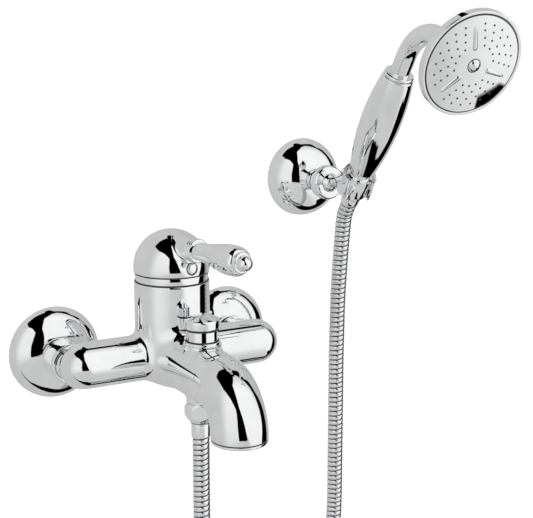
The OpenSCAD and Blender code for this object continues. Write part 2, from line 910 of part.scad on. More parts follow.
// The neck's foot meets the dome, three thin rings follow it, and a pin runs on into the handle
module lever_neck() {
    ring_w = (handle_start - neck_ring_start) / neck_rings;
    ring_in_r = neck_ring_r - neck_ring_bulge;
    cove_r = neck_foot_r - neck_slim_r;
    color("gainsboro") {
        difference() {
            along_lever(lever_z) rotate_extrude() polygon(concat(
                [[0, neck_start], [neck_foot_r, neck_start]],
                arc(neck_foot_r, neck_ring_start - neck_cove_gap, cove_r, neck_cove, -90, -180, 8),
                [[ring_in_r, neck_ring_start]],
                [for (i = [0 : neck_rings - 1]) each arc(ring_in_r, neck_ring_start + (i + 0.5) * ring_w,
                    neck_ring_bulge, ring_w / 2, -90, 90, 6)],
                [[0, handle_start]]));
            dome_solid(dome_r);
        }
        along_lever(lever_z) disc(lever_pin_start, lever_pin_end - lever_pin_start, lever_pin_r);
    }
}

module lever_handle() {
    color("gainsboro") along_lever(lever_z) difference() {
        rotate_extrude() polygon(handle_profile());
        disc(handle_start - cut, lever_pin_end - handle_start + 3 * cut, lever_pin_r + run_gap);
        disc(handle_end - button_pin_len - cut, button_pin_len + 2 * cut, button_pin_r + run_gap);
    }
}

// Slim at the neck, flaring to a full round shoulder near the end
function handle_profile() = let (
    from = handle_start + handle_flare,
    to = handle_end - handle_belly,
    shoulder_w = handle_thick_r - handle_end_r) concat(
    [[0, handle_start], [handle_slim_r, handle_start]],
    [for (i = [0 : 12]) let (t = i / 12)
        [handle_slim_r + (handle_thick_r - handle_slim_r) * (1 - cos(180 * t)) / 2, from + (to - from) * t]],
    arc(handle_end_r, handle_end - handle_shoulder, shoulder_w, handle_shoulder, 20, 90, 8),
    [[0, handle_end]]);

module lever_end_button() {
    half = end_ring_h / 2;
    color("gainsboro") along_lever(lever_z) {
        disc(handle_end - button_pin_len, button_pin_len + cut, button_pin_r);
        rotate_extrude() polygon(concat(
            [[0, handle_end]],
            arc(end_ring_r - half, handle_end + half, half, half, -90, 90, 8),
            [[end_button_r, handle_end + end_ring_h]],
            arc(0, handle_end + end_button_rise, end_button_r, end_button_r, 0, 90, 10)));
    }
}

// Diverter
module diverter_bonnet() {
    thread_start = bonnet_thread_z + bonnet_thread_gap;
    color("gainsboro") at_diverter() difference() {
        union() {
            disc(thread_start, diverter_boss_z + cut - thread_start, bonnet_thread_r);
            disc(diverter_boss_z, bonnet_flange_h, bonnet_flange_r);
            disc(diverter_boss_z, bonnet_top - diverter_boss_z, bonnet_r);
        }
        disc(0, 2 * bonnet_top, rod_r + run_gap);
        disc(oring_z - run_gap, oring_h + 2 * run_gap, oring_r + run_gap);
        disc(0, bonnet_thread_z + bonnet_recess, bonnet_recess_r);
    }
}

module diverter_oring() {
    color("dimgray") at_diverter() tube(oring_z, oring_h, oring_r, rod_r + run_gap);
}

module diverter_knob() {
    top = knob_z + knob_h;
    color("gainsboro") at_diverter() difference() {
        rotate_extrude() polygon(concat(
            [[0, knob_z], [knob_r - knob_edge, knob_z]],
            arc(knob_r - knob_edge, knob_z + knob_edge, knob_edge, knob_edge, -90, 0, 4),
            arc(knob_r - knob_shoulder, top - knob_crown - knob_edge, knob_shoulder, knob_shoulder, 0, 50, 4),
            arc(0, top - knob_crown, knob_crown_r, knob_crown, 30, 90, 10)));
        disc(knob_z - cut, rod_top - knob_z + cut, rod_r + rod_press);
    }
}

module diverter_rod() {
    color("silver") at_diverter() {
        disc(rod_low, rod_top - rod_low, rod_r);
        disc(chamber_floor + valve_washer_h, valve_disc_h, valve_r);
    }
}

module valve_washer() {
    color("dimgray") at_diverter() tube(chamber_floor, valve_washer_h, valve_r, rod_r);
}

// Shower outlet
module outlet_nipple() {
    color("silver") at_shower_outlet() difference() {
        union() {
            disc(outlet_seat, nipple_shank_z - outlet_seat, nipple_shank_r);
            disc(nipple_end, outlet_seat - nipple_end, nipple_r);
        }
        disc(nipple_end - cut, nipple_shank_z - nipple_end + 2 * cut, nipple_bore_r);
    }
}

// Hexagon nut with its corners turned off at both ends
module hose_nut() {
    corner_r = hose_nut_flats / sqrt(3);
    h = hose_nut_top - hose_nut_end;
    low = hose_nut_low_chamfer;
    top = hose_nut_top_chamfer;
    color("gainsboro") at_shower_outlet() difference() {
        intersection() {
            translate([0, 0, hose_nut_end]) rotate([0, 0, 30]) cylinder(h = h, r = corner_r, $fn = 6);
            rotate_extrude() polygon([
                [0, hose_nut_end], [corner_r - low[0], hose_nut_end], [corner_r, hose_nut_end + low[1]],
                [corner_r, hose_nut_top - top[1]], [corner_r - top[0], hose_nut_top], [0, hose_nut_top]]);
        }
        disc(hose_nut_end - cut, h + 2 * cut, ferrule_r + fit_gap);
        disc(ferrule_flange_z, h, nipple_r + fit_gap);
    }
}

module hose_washer() {
    color("dimgray") at_shower_outlet() tube(hose_washer_z, hose_washer_h, nipple_r, nipple_bore_r);
}

module hose_start_ferrule() {
    color("gainsboro") at_shower_outlet() difference() {
        union() {
            disc(ferrule_flange_z, ferrule_flange_h, nipple_r);
            disc(hose_start_z, ferrule_flange_z - hose_start_z, ferrule_r);
        }
        disc(hose_start_z - cut, hose_washer_z - hose_start_z + 2 * cut, hose_bore / 2);
    }
}

// Hose
function spline(a, b, c, d, t) = 0.5 * (2 * b + (c - a) * t + (2 * a - 5 * b + 4 * c - d) * t * t
    + (3 * b - a - 3 * c + d) * t * t * t);

// Ring centres along a route, half a rib apart, with straight first and last legs
function route_rings(p, step) = let (last = len(p) - 1) concat(
    [for (i = [0 : last - 1]) let (n = max(1, round(norm(p[i + 1] - p[i]) / step)))
        for (k = [0 : n - 1])
            (i == 0 || i == last - 1) ? p[i] + (p[i + 1] - p[i]) * k / n
            : spline(p[i - 1], p[i], p[i + 1], p[i + 2], k / n)],
    [p[last]]);

coil_steps = ceil(coil_turns * 2 * PI * coil_r / (coil_rib_pitch / 2));
coil_rings = [for (i = [0 : coil_steps]) let (t = i / coil_steps, a = 180 + 360 * coil_turns * t)
    [coil_x + coil_r * cos(a), coil_start[1] + coil_pitch * coil_turns * t, coil_z + coil_r * sin(a)]];
outlet_rings = route_rings(outlet_route, rib_pitch / 2);
riser_rings = route_rings(riser_route, rib_pitch / 2);
coil_gap = min([for (i = [0 : coil_steps]) for (j = [i + 1 : coil_steps])
    if ((j - i) / coil_steps * coil_turns > 0.5) norm(coil_rings[j] - coil_rings[i])]) - hose_d;
echo(coil_least_gap_mm = coil_gap);

function path_length(p) = len(p) < 2 ? 0 : [for (i = [0 : len(p) - 2]) norm(p[i + 1] - p[i])]
    * [for (i = [0 : len(p) - 2]) 1];
echo(hose_length_mm = path_length(outlet_rings) + path_length(coil_rings) + path_length(riser_rings));

// Direction of the hose at ring i, with the neighbours before and after for the ends
function ring_way(p, i, before, after) =
    unit((i < len(p) - 1 ? p[i + 1] : after) - (i > 0 ? p[i - 1] : before));

function ring_points(c, way, r) = let (n = unit(cross(way, [0, 1, 0])), b = cross(way, n))
    [for (k = [0 : ring_sides - 1]) let (a = 360 * k / ring_sides) c + r * (cos(a) * n + sin(a) * b)];

// Ribbed tube with its bore: rings alternate between rib and groove, the bore has fewer
module ribbed_tube(p, before, after) {
    last = len(p) - 1;
    outer = [for (i = [0 : last]) each ring_points(p[i], ring_way(p, i, before, after),
        hose_d / 2 - (i % 2 == 1 ? rib_depth : 0))];
    stops = [for (i = [0 : last]) if (i % bore_every == 0 || i == last) i];
    inner = [for (i = stops) each ring_points(p[i], ring_way(p, i, before, after), hose_bore / 2)];
    m = ring_sides;
    start = (last + 1) * m;
    end = start + (len(stops) - 1) * m;
    polyhedron(concat(outer, inner), concat(
        [for (i = [0 : last - 1]) for (k = [0 : m - 1]) let (a = i * m + k, b = i * m + (k + 1) % m)
            each [[a, b, a + m], [b, b + m, a + m]]],
        [for (i = [0 : len(stops) - 2]) for (k = [0 : m - 1])
            let (a = start + i * m + k, b = start + i * m + (k + 1) % m)
            each [[a, a + m, b], [b, a + m, b + m]]],
        [for (k = [0 : m - 1]) let (q = (k + 1) % m)
            each [[k, start + k, q], [q, start + k, start + q]]],
        [for (k = [0 : m - 1]) let (q = (k + 1) % m, f = last * m)
            each [[f + k, f + q, end + k], [f + q, end + q, end + k]]]));
}

module hose_outlet_leg() {
    color("silver") ribbed_tube(outlet_rings, outlet_rings[0], coil_rings[1]);
}

module hose_coil() {
    color("silver") ribbed_tube(coil_rings, outlet_rings[len(outlet_rings) - 2], riser_rings[1]);
}

module hose_riser() {
    color("silver") ribbed_tube(riser_rings, coil_rings[coil_steps - 1], riser_rings[len(riser_rings) - 1]);
}

// Flat tie round the strands at the bottom of the coil
module hose_tie() {
    first = coil_start[1] + coil_pitch / 4;
    span = 2 * coil_pitch;
    r = hose_d / 2 + move_gap;
    color("dimgray") translate([coil_x - tie_w / 2, first, coil_z - coil_r]) rotate([90, 0, 90])
        linear_extrude(height = tie_w) difference() {
            tie_outline(span, r + tie_wall);
            tie_outline(span, r);
        }
}

module tie_outline(span, r) {
    circle(r = r);
    translate([span, 0]) circle(r = r);
    translate([0, -r]) square([span, 2 * r]);
}

// Bracket
module bracket_plate() {
    color("silver") from_wall(bracket_x, bracket_z) difference() {
        union() {
            disc(0, back_plate_h, back_plate_r);
            disc(0, back_plate_h + hub_len, hub_r);
        }
        for (side = [-1, 1])
            translate([0, side * screw_spacing / 2, 0])
                disc(-cut, back_plate_h + 2 * cut, screw_r + fit_gap);
    }
}

// Slotted screws whose plain shank in the plate is thinner than their thread in the wall
module bracket_screws() {
    color("dimgray") for (side = [-1, 1])
        from_wall(bracket_x, bracket_z + side * screw_spacing / 2) difference() {
            union() {
                disc(-screw_depth, screw_depth, screw_r);
                disc(-cut, back_plate_h + 2 * cut, screw_shank_r);
                disc(back_plate_h, screw_head_h, screw_head_r);
            }
            translate([-screw_head_r - cut, -screw_slot_w / 2, back_plate_h + screw_head_h - screw_slot])
                cube([2 * (screw_head_r + cut), screw_slot_w, screw_slot + cut]);
        }
}

module bracket_rosette() {
    color("gainsboro") from_wall(bracket_x, bracket_z)
        rosette(bracket_rosette_r, bracket_rosette_h, stem_r + fit_gap);
}

module ball_clearance() {
    translate([0, 0, ball_y]) sphere(r = ball_r + move_gap);
}

// Trumpet-shaped stem with a seat for the ball in its outer end
module bracket_stem() {
    color("gainsboro") from_wall(bracket_x, bracket_z) difference() {
        rotate_extrude() polygon(concat(
            [[0, back_plate_h], [stem_r, back_plate_h], [stem_r, bracket_rosette_h]],
            [for (i = [1 : 10]) let (t = i / 10)
                [stem_r + (stem_end_r - stem_r) * pow(t, 1.6),
                    bracket_rosette_h + (stem_flare_end - bracket_rosette_h) * t]],
            [[stem_end_r, ring_start], [0, ring_start]]));
        disc(back_plate_h - cut, cut + hub_len, hub_r + fit_gap);
        ball_clearance();
        disc(ball_y, ball_r, ball_r + move_gap);
    }
}

module socket_ring() {
    end = ring_start + ring_len;
    color("gainsboro") from_wall(bracket_x, bracket_z) difference() {
        rotate_extrude() polygon([[0, ring_start], [stem_end_r, ring_start],
            [stem_end_r, end - ring_chamfer], [stem_end_r - ring_chamfer, end], [0, end]]);
        ball_clearance();
        disc(0, 2 * ball_y, ring_hole_r);
    }
}

// Holder
module holder_neck() {
    reach = cup_y - ball_y;
    rise = cup_z - bracket_z;
    slope = atan2(rise, reach);
    neck_end = norm([reach, rise]) - cup_hole_low_r + 0.7;
    beyond = 3 * cup_r;
    color("gainsboro") difference() {
        from_wall(bracket_x, bracket_z) translate([0, 0, ball_y]) {
            sphere(r = ball_r);
            rotate([slope, 0, 0]) rotate_extrude() polygon(concat(
                [[0, 0], [holder_neck_r, 0], [holder_neck_r, holder_neck_start]],
                [for (i = [1 : 8]) let (t = i / 8)
                    [holder_neck_r + (holder_flare_r - holder_neck_r) * pow(t, 1.1),
                        holder_neck_start + (neck_end - holder_neck_start) * t]],
                [[0, neck_end]]));
        }
        in_cup() rotate_extrude() polygon([[0, -beyond], [cup_bottom_r, -beyond], [cup_bottom_r, -cup_down],
            [cup_r, cup_up], [cup_r, beyond], [0, beyond]]);
    }
}

module holder_cup() {
    h = cup_down + cup_up;
    color("gainsboro") in_cup() translate([0, 0, -cup_down]) difference() {
        cylinder(h = h, r1 = cup_bottom_r, r2 = cup_r);
        cylinder(h = h, r1 = cup_hole_low_r, r2 = cup_hole_r);
        translate([-cup_slot / 2, -2 * cup_r, -cut]) cube([cup_slot, 2 * cup_r, h + 2 * cut]);
    }
}

module hose_end_ferrule() {
    color("gainsboro") in_cup() {
        tube(ferrule_end, cone_end - move_gap - ferrule_end, ferrule_r, hose_bore / 2);
        tube(cone_end - cut, spigot_len + cut, spigot_r, hose_bore / 2);
    }
}

// Handset
module cone_nut() {
    color("gainsboro") in_handset() difference() {
        union() {
            translate([0, 0, -cup_down]) cylinder(h = cup_down + cup_up, r1 = cone_bottom_r, r2 = cone_top_r);
            disc(cone_end, cone_tail + cut, cone_tail_r);
            disc(cup_up - cut, grip_start - cup_up + cut, cone_tail_r);
        }
        disc(cone_end - cut, grip_start - cone_end + 2 * cut, way_r);
        disc(cone_end - cut, cut + spigot_hole, spigot_r + run_gap);
    }
}

module handset_washer() {
    color("dimgray") in_handset() tube(handset_washer_z, handset_washer_h, spigot_r, way_r);
}

// Turned barrel grip, widest above its middle, with a rounded top edge
module handset_grip() {
    top = grip_end - grip_lip;
    color("gainsboro") in_handset() difference() {
        rotate_extrude() polygon(concat(
            [[0, grip_start]],
            [for (i = [0 : 10]) let (t = 1 - i / 10)
                [grip_wide_r - (grip_wide_r - grip_low_r) * t * t,
                    grip_wide_at - (grip_wide_at - grip_start) * t]],
            [for (i = [1 : 9]) let (t = i / 10)
                [grip_wide_r - (grip_wide_r - grip_top_r) * t * t, grip_wide_at + (top - grip_wide_at) * t]],
            arc(grip_top_r - grip_lip, top, grip_lip, grip_lip, 0, 90, 4),
            [[0, grip_end]]));
        disc(grip_start - cut, grip_len + 2 * cut, way_r);
    }
}

module grip_collar() {
    half = bead_h / 2;
    color("gainsboro") in_handset() difference() {
        rotate_extrude() polygon(concat(
            [[0, grip_end]],
            arc(bead_r - half, grip_end + half, half, half, -90, 90, 8),
            [[0, grip_end + bead_h]]));
        disc(grip_end - cut, bead_h + 2 * cut, way_r);
    }
}

module handset_neck() {
    color("gainsboro") difference() {
        neck_run(neck_r, 0);
        neck_run(way_r, cut);
    }
}

// Straight run, bend and straight run into the head, longer by more at both ends
module neck_run(r, more) {
    start = grip_end + bead_h - more;
    bend_start = bend_z - bend_tangent;
    in_handset() {
        disc(start, bend_start + bend_lap - start, r);
        translate([0, -neck_bend_r, bend_start]) rotate([90, 0, 90])
            rotate_extrude(angle = neck_bend) translate([neck_bend_r, 0]) circle(r = r + bend_more_r);
    }
    in_head() disc(bend_tangent - bend_lap, head_back - bend_tangent + bend_lap + more, r);
}

// Straight rim with a back like a shallow bowl
module head_shell() {
    back = head_reach - head_rim_h;
    hole_r = head_foot_r;
    centre = (head_r * head_r - hole_r * hole_r - head_back_h * head_back_h) / (2 * head_back_h);
    bowl_r = norm([centre, head_r]);
    in_r = bowl_r - head_wall;
    color("gainsboro") in_head() difference() {
        rotate_extrude() polygon(concat(
            [[0, head_back]],
            arc(0, back + centre, bowl_r, bowl_r, -acos(hole_r / bowl_r), -acos(head_r / bowl_r), 12),
            [[head_r, head_reach], [spray_plate_r, head_reach]],
            arc(0, back + centre, in_r, in_r, -acos(spray_plate_r / in_r), -acos(hole_r / in_r), 12),
            [[0, head_back + head_wall]]));
        disc(head_back - cut, head_wall + 2 * cut, way_r);
    }
}

module head_gasket() {
    color("dimgray") in_head()
        tube(head_reach - spray_plate_h - gasket_h, gasket_h, gasket_r, gasket_hole_r);
}

// Heights of the spray plate's domed face between two radii, raised by more
function plate_arc(from, to, more, steps = 6) =
    [for (i = [0 : steps]) let (r = from + (to - from) * i / steps)
        [r, plate_top + more - plate_rise * r * r / (spray_plate_r * spray_plate_r)]];

// Domed plate with four rings of holes in each of three sectors, and a rib between the sectors
module spray_plate() {
    z = head_reach - spray_plate_h;
    h = spray_plate_h + plate_rise;
    sector_angle = 360 / spray_sectors;
    plate_r = spray_plate_r - fit_gap;
    color("silver") in_head() {
        difference() {
            rotate_extrude() polygon(concat([[plate_r, z], [0, z]], plate_arc(0, plate_r, 0)));
            for (sector = [0 : spray_sectors - 1]) for (ring = [0 : len(spray_ring_r) - 1]) {
                edge = asin(spray_rib_clear / spray_ring_r[ring]);
                step = (sector_angle - 2 * edge) / (spray_ring_holes[ring] - 1);
                for (i = [0 : spray_ring_holes[ring] - 1])
                    rotate([0, 0, 90 + spray_turn + sector * sector_angle + edge + i * step])
                        translate([spray_ring_r[ring], 0, 0]) disc(z - cut, h + 2 * cut, spray_hole_r);
            }
            disc(z - cut, h + 2 * cut, spray_screw_shank_r);
        }
        for (sector = [0 : spray_sectors - 1])
            rotate([0, 0, 90 + spray_turn + sector * sector_angle])
                translate([0, spray_rib_w / 2, 0]) rotate([90, 0, 0]) linear_extrude(height = spray_rib_w)
                    polygon(concat(
                        [[spray_rib_end, head_reach - cut], [spray_rib_start, head_reach - cut]],
                        plate_arc(spray_rib_start, spray_rib_end, spray_rib_h)));
    }
}

module spray_screw() {
    slot = spray_screw_slot;
    slot_w = spray_screw_slot_w;
    color("gainsboro") in_head() {
        disc(plate_top - spray_screw_len, spray_screw_len, spray_screw_shank_r);
        difference() {
            rotate_extrude() polygon(concat(
                [[0, plate_top]],
                arc(0, plate_top, spray_screw_r, spray_screw_h, 0, 90, 8)));
            for (turn = [0, 90])
                rotate([0, 0, turn]) translate([-slot / 2, -slot_w / 2, plate_top + spray_screw_h / 2])
                    cube([slot, slot_w, spray_screw_h]);
        }
    }
}

mixer_body();
left_inlet_union();
right_inlet_union();
left_union_nut();
right_union_nut();
inlet_washers();
left_rosette();
right_rosette();
cartridge_base();
cartridge_seals();
cartridge_housing();
fixed_disc();
moving_disc();
stem_carrier();
pivot_pin();
spindle();
cartridge_nut();
trim_collar();
dome_cap();
lever_neck();
lever_handle();
lever_end_button();
index_button();
set_screw();
aerator_housing();
aerator_insert();
aerator_washer();
diverter_bonnet();
diverter_oring();
diverter_knob();
diverter_rod();
valve_washer();
outlet_nipple();
hose_nut();
hose_washer();
hose_start_ferrule();
hose_outlet_leg();
hose_coil();
hose_riser();
hose_tie();
bracket_plate();
bracket_screws();
bracket_rosette();
bracket_stem();
socket_ring();
holder_neck();
holder_cup();
hose_end_ferrule();
cone_nut();
handset_washer();
handset_grip();
grip_collar();
handset_neck();
head_shell();
head_gasket();
spray_plate();
spray_screw();
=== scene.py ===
import bpy
import bmesh
import math
import numpy as np
from mathutils import Matrix, Vector


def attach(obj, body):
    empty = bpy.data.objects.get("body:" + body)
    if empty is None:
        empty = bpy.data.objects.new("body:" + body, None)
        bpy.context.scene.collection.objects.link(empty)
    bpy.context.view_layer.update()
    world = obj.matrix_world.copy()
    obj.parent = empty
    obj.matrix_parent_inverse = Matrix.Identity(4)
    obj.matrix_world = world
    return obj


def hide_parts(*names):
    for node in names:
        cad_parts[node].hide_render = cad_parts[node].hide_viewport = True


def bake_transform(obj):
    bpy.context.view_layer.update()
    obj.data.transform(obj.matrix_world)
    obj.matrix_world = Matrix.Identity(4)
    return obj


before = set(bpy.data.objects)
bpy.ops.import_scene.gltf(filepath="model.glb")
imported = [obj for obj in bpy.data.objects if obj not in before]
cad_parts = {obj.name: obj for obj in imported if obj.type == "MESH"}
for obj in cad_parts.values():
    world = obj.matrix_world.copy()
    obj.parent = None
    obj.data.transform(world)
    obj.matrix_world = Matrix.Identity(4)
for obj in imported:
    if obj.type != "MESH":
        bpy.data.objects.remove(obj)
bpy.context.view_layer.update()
scene = bpy.context.scene


# Camera
# It stands where the photograph was taken from, in front of the mixer, to its left
# and a little above it.
camera_data = bpy.data.cameras.new("photo_camera")
camera_data.sensor_fit = "HORIZONTAL"
camera_data.sensor_width = 36
camera_data.lens = 79.42
camera = bpy.data.objects.new("photo_camera", camera_data)
camera.location = (-0.36282, -0.86576, 0.25359)
camera.rotation_euler = (math.radians(90 - 11.3), 0, math.radians(-29.01))
scene.collection.objects.link(camera)
scene.camera = camera


# Shower hose
# A rubber tube inside a sleeve wound from chrome-plated metal strip, crimped into a ferrule at each end.
# It hangs from the shower outlet, its spare length lies in a coil, and it rises to the handset.
MM = 0.001
hose_d = 13
strip_pitch = 4.1
steps_per_pitch = 14
strip_sides = 28
ridge_half = 0.44
groove_depth = 0.7
outlet_route = [
    (0, -110.5, -48), (0, -110.5, -61), (0, -110.5, -76), (0, -110.5, -92), (0, -110.5, -108),
    (0, -110.5, -124), (0.4, -110.3, -141), (2.3, -109, -159), (5.3, -106.6, -179), (8.1, -104, -200),
    (9.7, -102.7, -220), (10, -102.5, -238), (10, -102.5, -253)]
riser_route = [
    (140, -67.5, -253), (140, -67.5, -238), (140.8, -67, -220), (143.4, -65, -202), (146.8, -62.6, -184),
    (149.4, -61, -167), (150.7, -60.2, -151), (151, -60, -136), (151, -60, -120), (151, -60, -100),
    (151, -60, -80), (151, -60, -60), (151, -60, -40), (151, -60, -20), (151, -60.5, 0), (151, -61, 20),
    (151, -62, 38), (151, -63.5, 54), (151, -65, 68), (151, -66.5, 80), (151, -68, 91),
    (151, -70.5, 102.4), (151, -77.3, 113.4)]
coil_r = 65
coil_turns = 2.5


def smooth_route(route, steps=24):
    """A curve through the points of a route, with straight first and last legs."""
    p = np.array(route, float)
    t = np.linspace(0, 1, steps, endpoint=False)[:, None]
    runs = []
    for i in range(len(p) - 1):
        b, c = p[i], p[i + 1]
        if i in (0, len(p) - 2):
            runs.append(b + (c - b) * t)
            continue
        a, d = p[i - 1], p[i + 2]
        runs.append(0.5 * (2 * b + (c - a) * t + (2 * a - 5 * b + 4 * c - d) * t ** 2
                           + (3 * b - a - 3 * c + d) * t ** 3))
    return np.vstack(runs + [p[-1:]])


def lengths_along(points):
    return np.concatenate([[0], np.cumsum(np.linalg.norm(np.diff(points, axis=0), axis=1))])


def even_steps(points, step):
    """The same curve with its points a fixed step apart."""
    along = lengths_along(points)
    stops = np.linspace(0, along[-1], int(round(along[-1] / step)) + 1)
    return np.stack([np.interp(stops, along, points[:, k]) for k in range(3)], axis=1), stops


def carried_axes(points):
    """Two directions across the curve at each point, carried along it without twist."""
    way = np.gradient(points, axis=0)
    way /= np.linalg.norm(way, axis=1)[:, None]
    side = np.cross(way[0], (0, 1, 0.01))
    sides = []
    for w in way:
        side = side - w * side.dot(w)
        side = side / np.linalg.norm(side)
        sides.append(side)
    sides = np.array(sides)
    return sides, np.cross(way, sides)


def rings_round(line, r, angle):
    """Rings of points round a curve, at a distance that is fixed or given for each point."""
    sides, ups = carried_axes(line)
    out = np.cos(angle)[:, None] * sides[:, None] + np.sin(angle)[:, None] * ups[:, None]
    return line[:, None] + np.asarray(r)[..., None] * out


def mesh_piece(name, points, faces, crease=35):
    """A piece from points in mm, its faces turned outwards and its edges over the crease angle kept sharp."""
    mesh = bpy.data.meshes.new(name)
    mesh.from_pydata((np.asarray(points, float) * MM).tolist(), [], faces)
    work = bmesh.new()
    work.from_mesh(mesh)
    bmesh.ops.recalc_face_normals(work, faces=work.faces)
    work.to_mesh(mesh)
    work.free()
    mesh.polygons.foreach_set("use_smooth", [True] * len(mesh.polygons))
    mesh.set_sharp_from_angle(angle=math.radians(crease))
    piece = bpy.data.objects.new(name, mesh)
    scene.collection.objects.link(piece)
    return piece


def skinned(name, rings, crease=35, loop=False):
    """A closed skin over a row of rings; the row ends in caps, or runs round into itself as a loop."""
    rows, sides = rings.shape[:2]
    k = np.arange(sides)
    starts = np.arange(rows if loop else rows - 1)[:, None] * sides
    nexts = (starts + sides) % (rows * sides)
    turn = (k + 1) % sides
    quads = np.stack([starts + k, starts + turn, nexts + turn, nexts + k], axis=2).reshape(-1, 4).tolist()
    if not loop:
        quads += [k.tolist(), ((rows - 1) * sides + k).tolist()]
    return mesh_piece(name, rings.reshape(-1, 3), quads, crease)


def mottle_group():
    """Soft uneven cloud over a surface: a mask, and a finer height that goes with it."""
    group = bpy.data.node_groups.new("soft_mottle", "ShaderNodeTree")
    sockets = group.interface
    sockets.new_socket("Cloud scale", in_out="INPUT", socket_type="NodeSocketFloat")
    sockets.new_socket("Grain scale", in_out="INPUT", socket_type="NodeSocketFloat")
    sockets.new_socket("Mask", in_out="OUTPUT", socket_type="NodeSocketFloat")
    sockets.new_socket("Height", in_out="OUTPUT", socket_type="NodeSocketFloat")
    inside, links = group.nodes, group.links
    start = inside.new("NodeGroupInput")
    end = inside.new("NodeGroupOutput")
    place = inside.new("ShaderNodeTexCoord")
    cloud = inside.new("ShaderNodeTexNoise")
    cloud.inputs["Detail"].default_value = 4
    grain = inside.new("ShaderNodeTexNoise")
    grain.inputs["Detail"].default_value = 2
    spread = inside.new("ShaderNodeMapRange")
    spread.inputs["From Min"].default_value = 0.35
    spread.inputs["From Max"].default_value = 0.65
    links.new(place.outputs["Object"], cloud.inputs["Vector"])
    links.new(place.outputs["Object"], grain.inputs["Vector"])
    links.new(start.outputs["Cloud scale"], cloud.inputs["Scale"])
    links.new(start.outputs["Grain scale"], grain.inputs["Scale"])
    links.new(cloud.outputs["Fac"], spread.inputs["Value"])
    links.new(spread.outputs["Result"], end.inputs["Mask"])
    links.new(grain.outputs["Fac"], end.inputs["Height"])
    return group


soft_mottle = mottle_group()


def surface(name, low, high, metallic, rough, cloud, grain, bump):
    """A material whose colour and roughness drift between two values with the mottle, over a fine grain."""
    material = bpy.data.materials.new(name)
    material.use_nodes = True
    nodes, links = material.node_tree.nodes, material.node_tree.links
    shader = nodes["Principled BSDF"]
    shader.inputs["Metallic"].default_value = metallic
    mottle = nodes.new("ShaderNodeGroup")
    mottle.node_tree = soft_mottle
    mottle.inputs["Cloud scale"].default_value = cloud
    mottle.inputs["Grain scale"].default_value = grain
    tint = nodes.new("ShaderNodeMix")
    tint.data_type = "RGBA"
    tint.inputs["A"].default_value = (*low, 1)
    tint.inputs["B"].default_value = (*high, 1)
    polish = nodes.new("ShaderNodeMapRange")
    polish.inputs["To Min"].default_value = rough[0]
    polish.inputs["To Max"].default_value = rough[1]
    relief = nodes.new("ShaderNodeBump")
    relief.inputs["Strength"].default_value = bump
    relief.inputs["Distance"].default_value = 0.0002
    links.new(mottle.outputs["Mask"], tint.inputs["Factor"])
    links.new(mottle.outputs["Mask"], polish.inputs["Value"])
    links.new(mottle.outputs["Height"], relief.inputs["Height"])
    links.new(tint.outputs["Result"], shader.inputs["Base Color"])
    links.new(polish.outputs["Result"], shader.inputs["Roughness"])
    links.new(relief.outputs["Normal"], shader.inputs["Normal"])
    return material


def fit(piece, material, slot, body, *nodes):
    """Gives a piece its material, sets it on its body and in place of its CAD nodes. The slot argument is not
    used.
    """
    piece.data.materials.append(material)
    if body:
        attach(piece, body)
    if nodes:
        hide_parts(*nodes)
    return piece


hose_metal = surface("hose_chrome_strip", (0.80, 0.81, 0.82), (0.88, 0.88, 0.89), metallic=1,
                     rough=(0.05, 0.10), cloud=220, grain=2600, bump=0.02)
hose_nodes, hose_links = hose_metal.node_tree.nodes, hose_metal.node_tree.links
strip_colour = hose_nodes["Principled BSDF"].inputs["Base Color"]
# Painted shade: the groove mask below mixes the strip's colour towards black in the grooves, in place of the
# shade that falls there.
groove_shade_mask = hose_nodes.new("ShaderNodeAttribute")
groove_shade_mask.attribute_name = "groove"
groove_painted_shade = hose_nodes.new("ShaderNodeMix")
groove_painted_shade.data_type = "RGBA"
groove_painted_shade.inputs["B"].default_value = (0.02, 0.02, 0.02, 1)
hose_links.new(groove_shade_mask.outputs["Fac"], groove_painted_shade.inputs["Factor"])
hose_links.new(strip_colour.links[0].from_socket, groove_painted_shade.inputs["A"])
hose_links.new(groove_painted_shade.outputs["Result"], strip_colour)
outlet_line = smooth_route(outlet_route)
turn_share = np.linspace(0, 1, 721)
turn_angle = math.pi + 2 * math.pi * coil_turns * turn_share
coil_line = np.stack([
    outlet_line[-1, 0] + coil_r + coil_r * np.cos(turn_angle),
    outlet_line[-1, 1] + (riser_route[0][1] - outlet_line[-1, 1]) * turn_share,
    outlet_line[-1, 2] + coil_r * np.sin(turn_angle)], axis=1)
hose_line, hose_along = even_steps(np.vstack([outlet_line, coil_line[1:], smooth_route(riser_route)[1:]]),
                                   strip_pitch / steps_per_pitch)
wind = np.linspace(0, 2 * math.pi, strip_sides, endpoint=False)
# The strip's rolled ridge is 0 high in the grooves and 1 on its crown, halfway along each pitch
off_crown = np.abs((hose_along[:, None] / strip_pitch - wind / (2 * math.pi)) % 1 - 0.5) / ridge_half
strip_height = np.sqrt(np.clip(1 - off_crown ** 4, 0, 1))
# strip_shade is the painted shade mask for the grooves: 1 deep in a groove, 0 on the crown.
strip_shade = np.clip(1.6 - 2.2 * strip_height, 0, 1)
hose_rings = rings_round(hose_line, hose_d / 2 - groove_depth * (1 - strip_height), wind)
riser_start = int(np.argmin(np.abs(hose_along - lengths_along(np.vstack([outlet_line, coil_line[1:]]))[-1])))
riser_split = riser_start + int(np.argmin(np.abs(hose_line[riser_start:, 2])))
hose_last = len(hose_line) - 1


def hose_run(name, first, last):
    """One run of the hose, its centre line in metres and its length."""
    piece = skinned(name, hose_rings[first:last + 1], crease=70)
    # The groove attribute carries the painted groove shade of each point.
    shade = piece.data.attributes.new("groove", "FLOAT", "POINT")
    shade.data.foreach_set("value", strip_shade[first:last + 1].ravel())
    stops = sorted(set(range(first, last + 1, 8)) | {last})
    return piece, (hose_line[stops] * MM).tolist(), (hose_along[last] - hose_along[first]) * MM


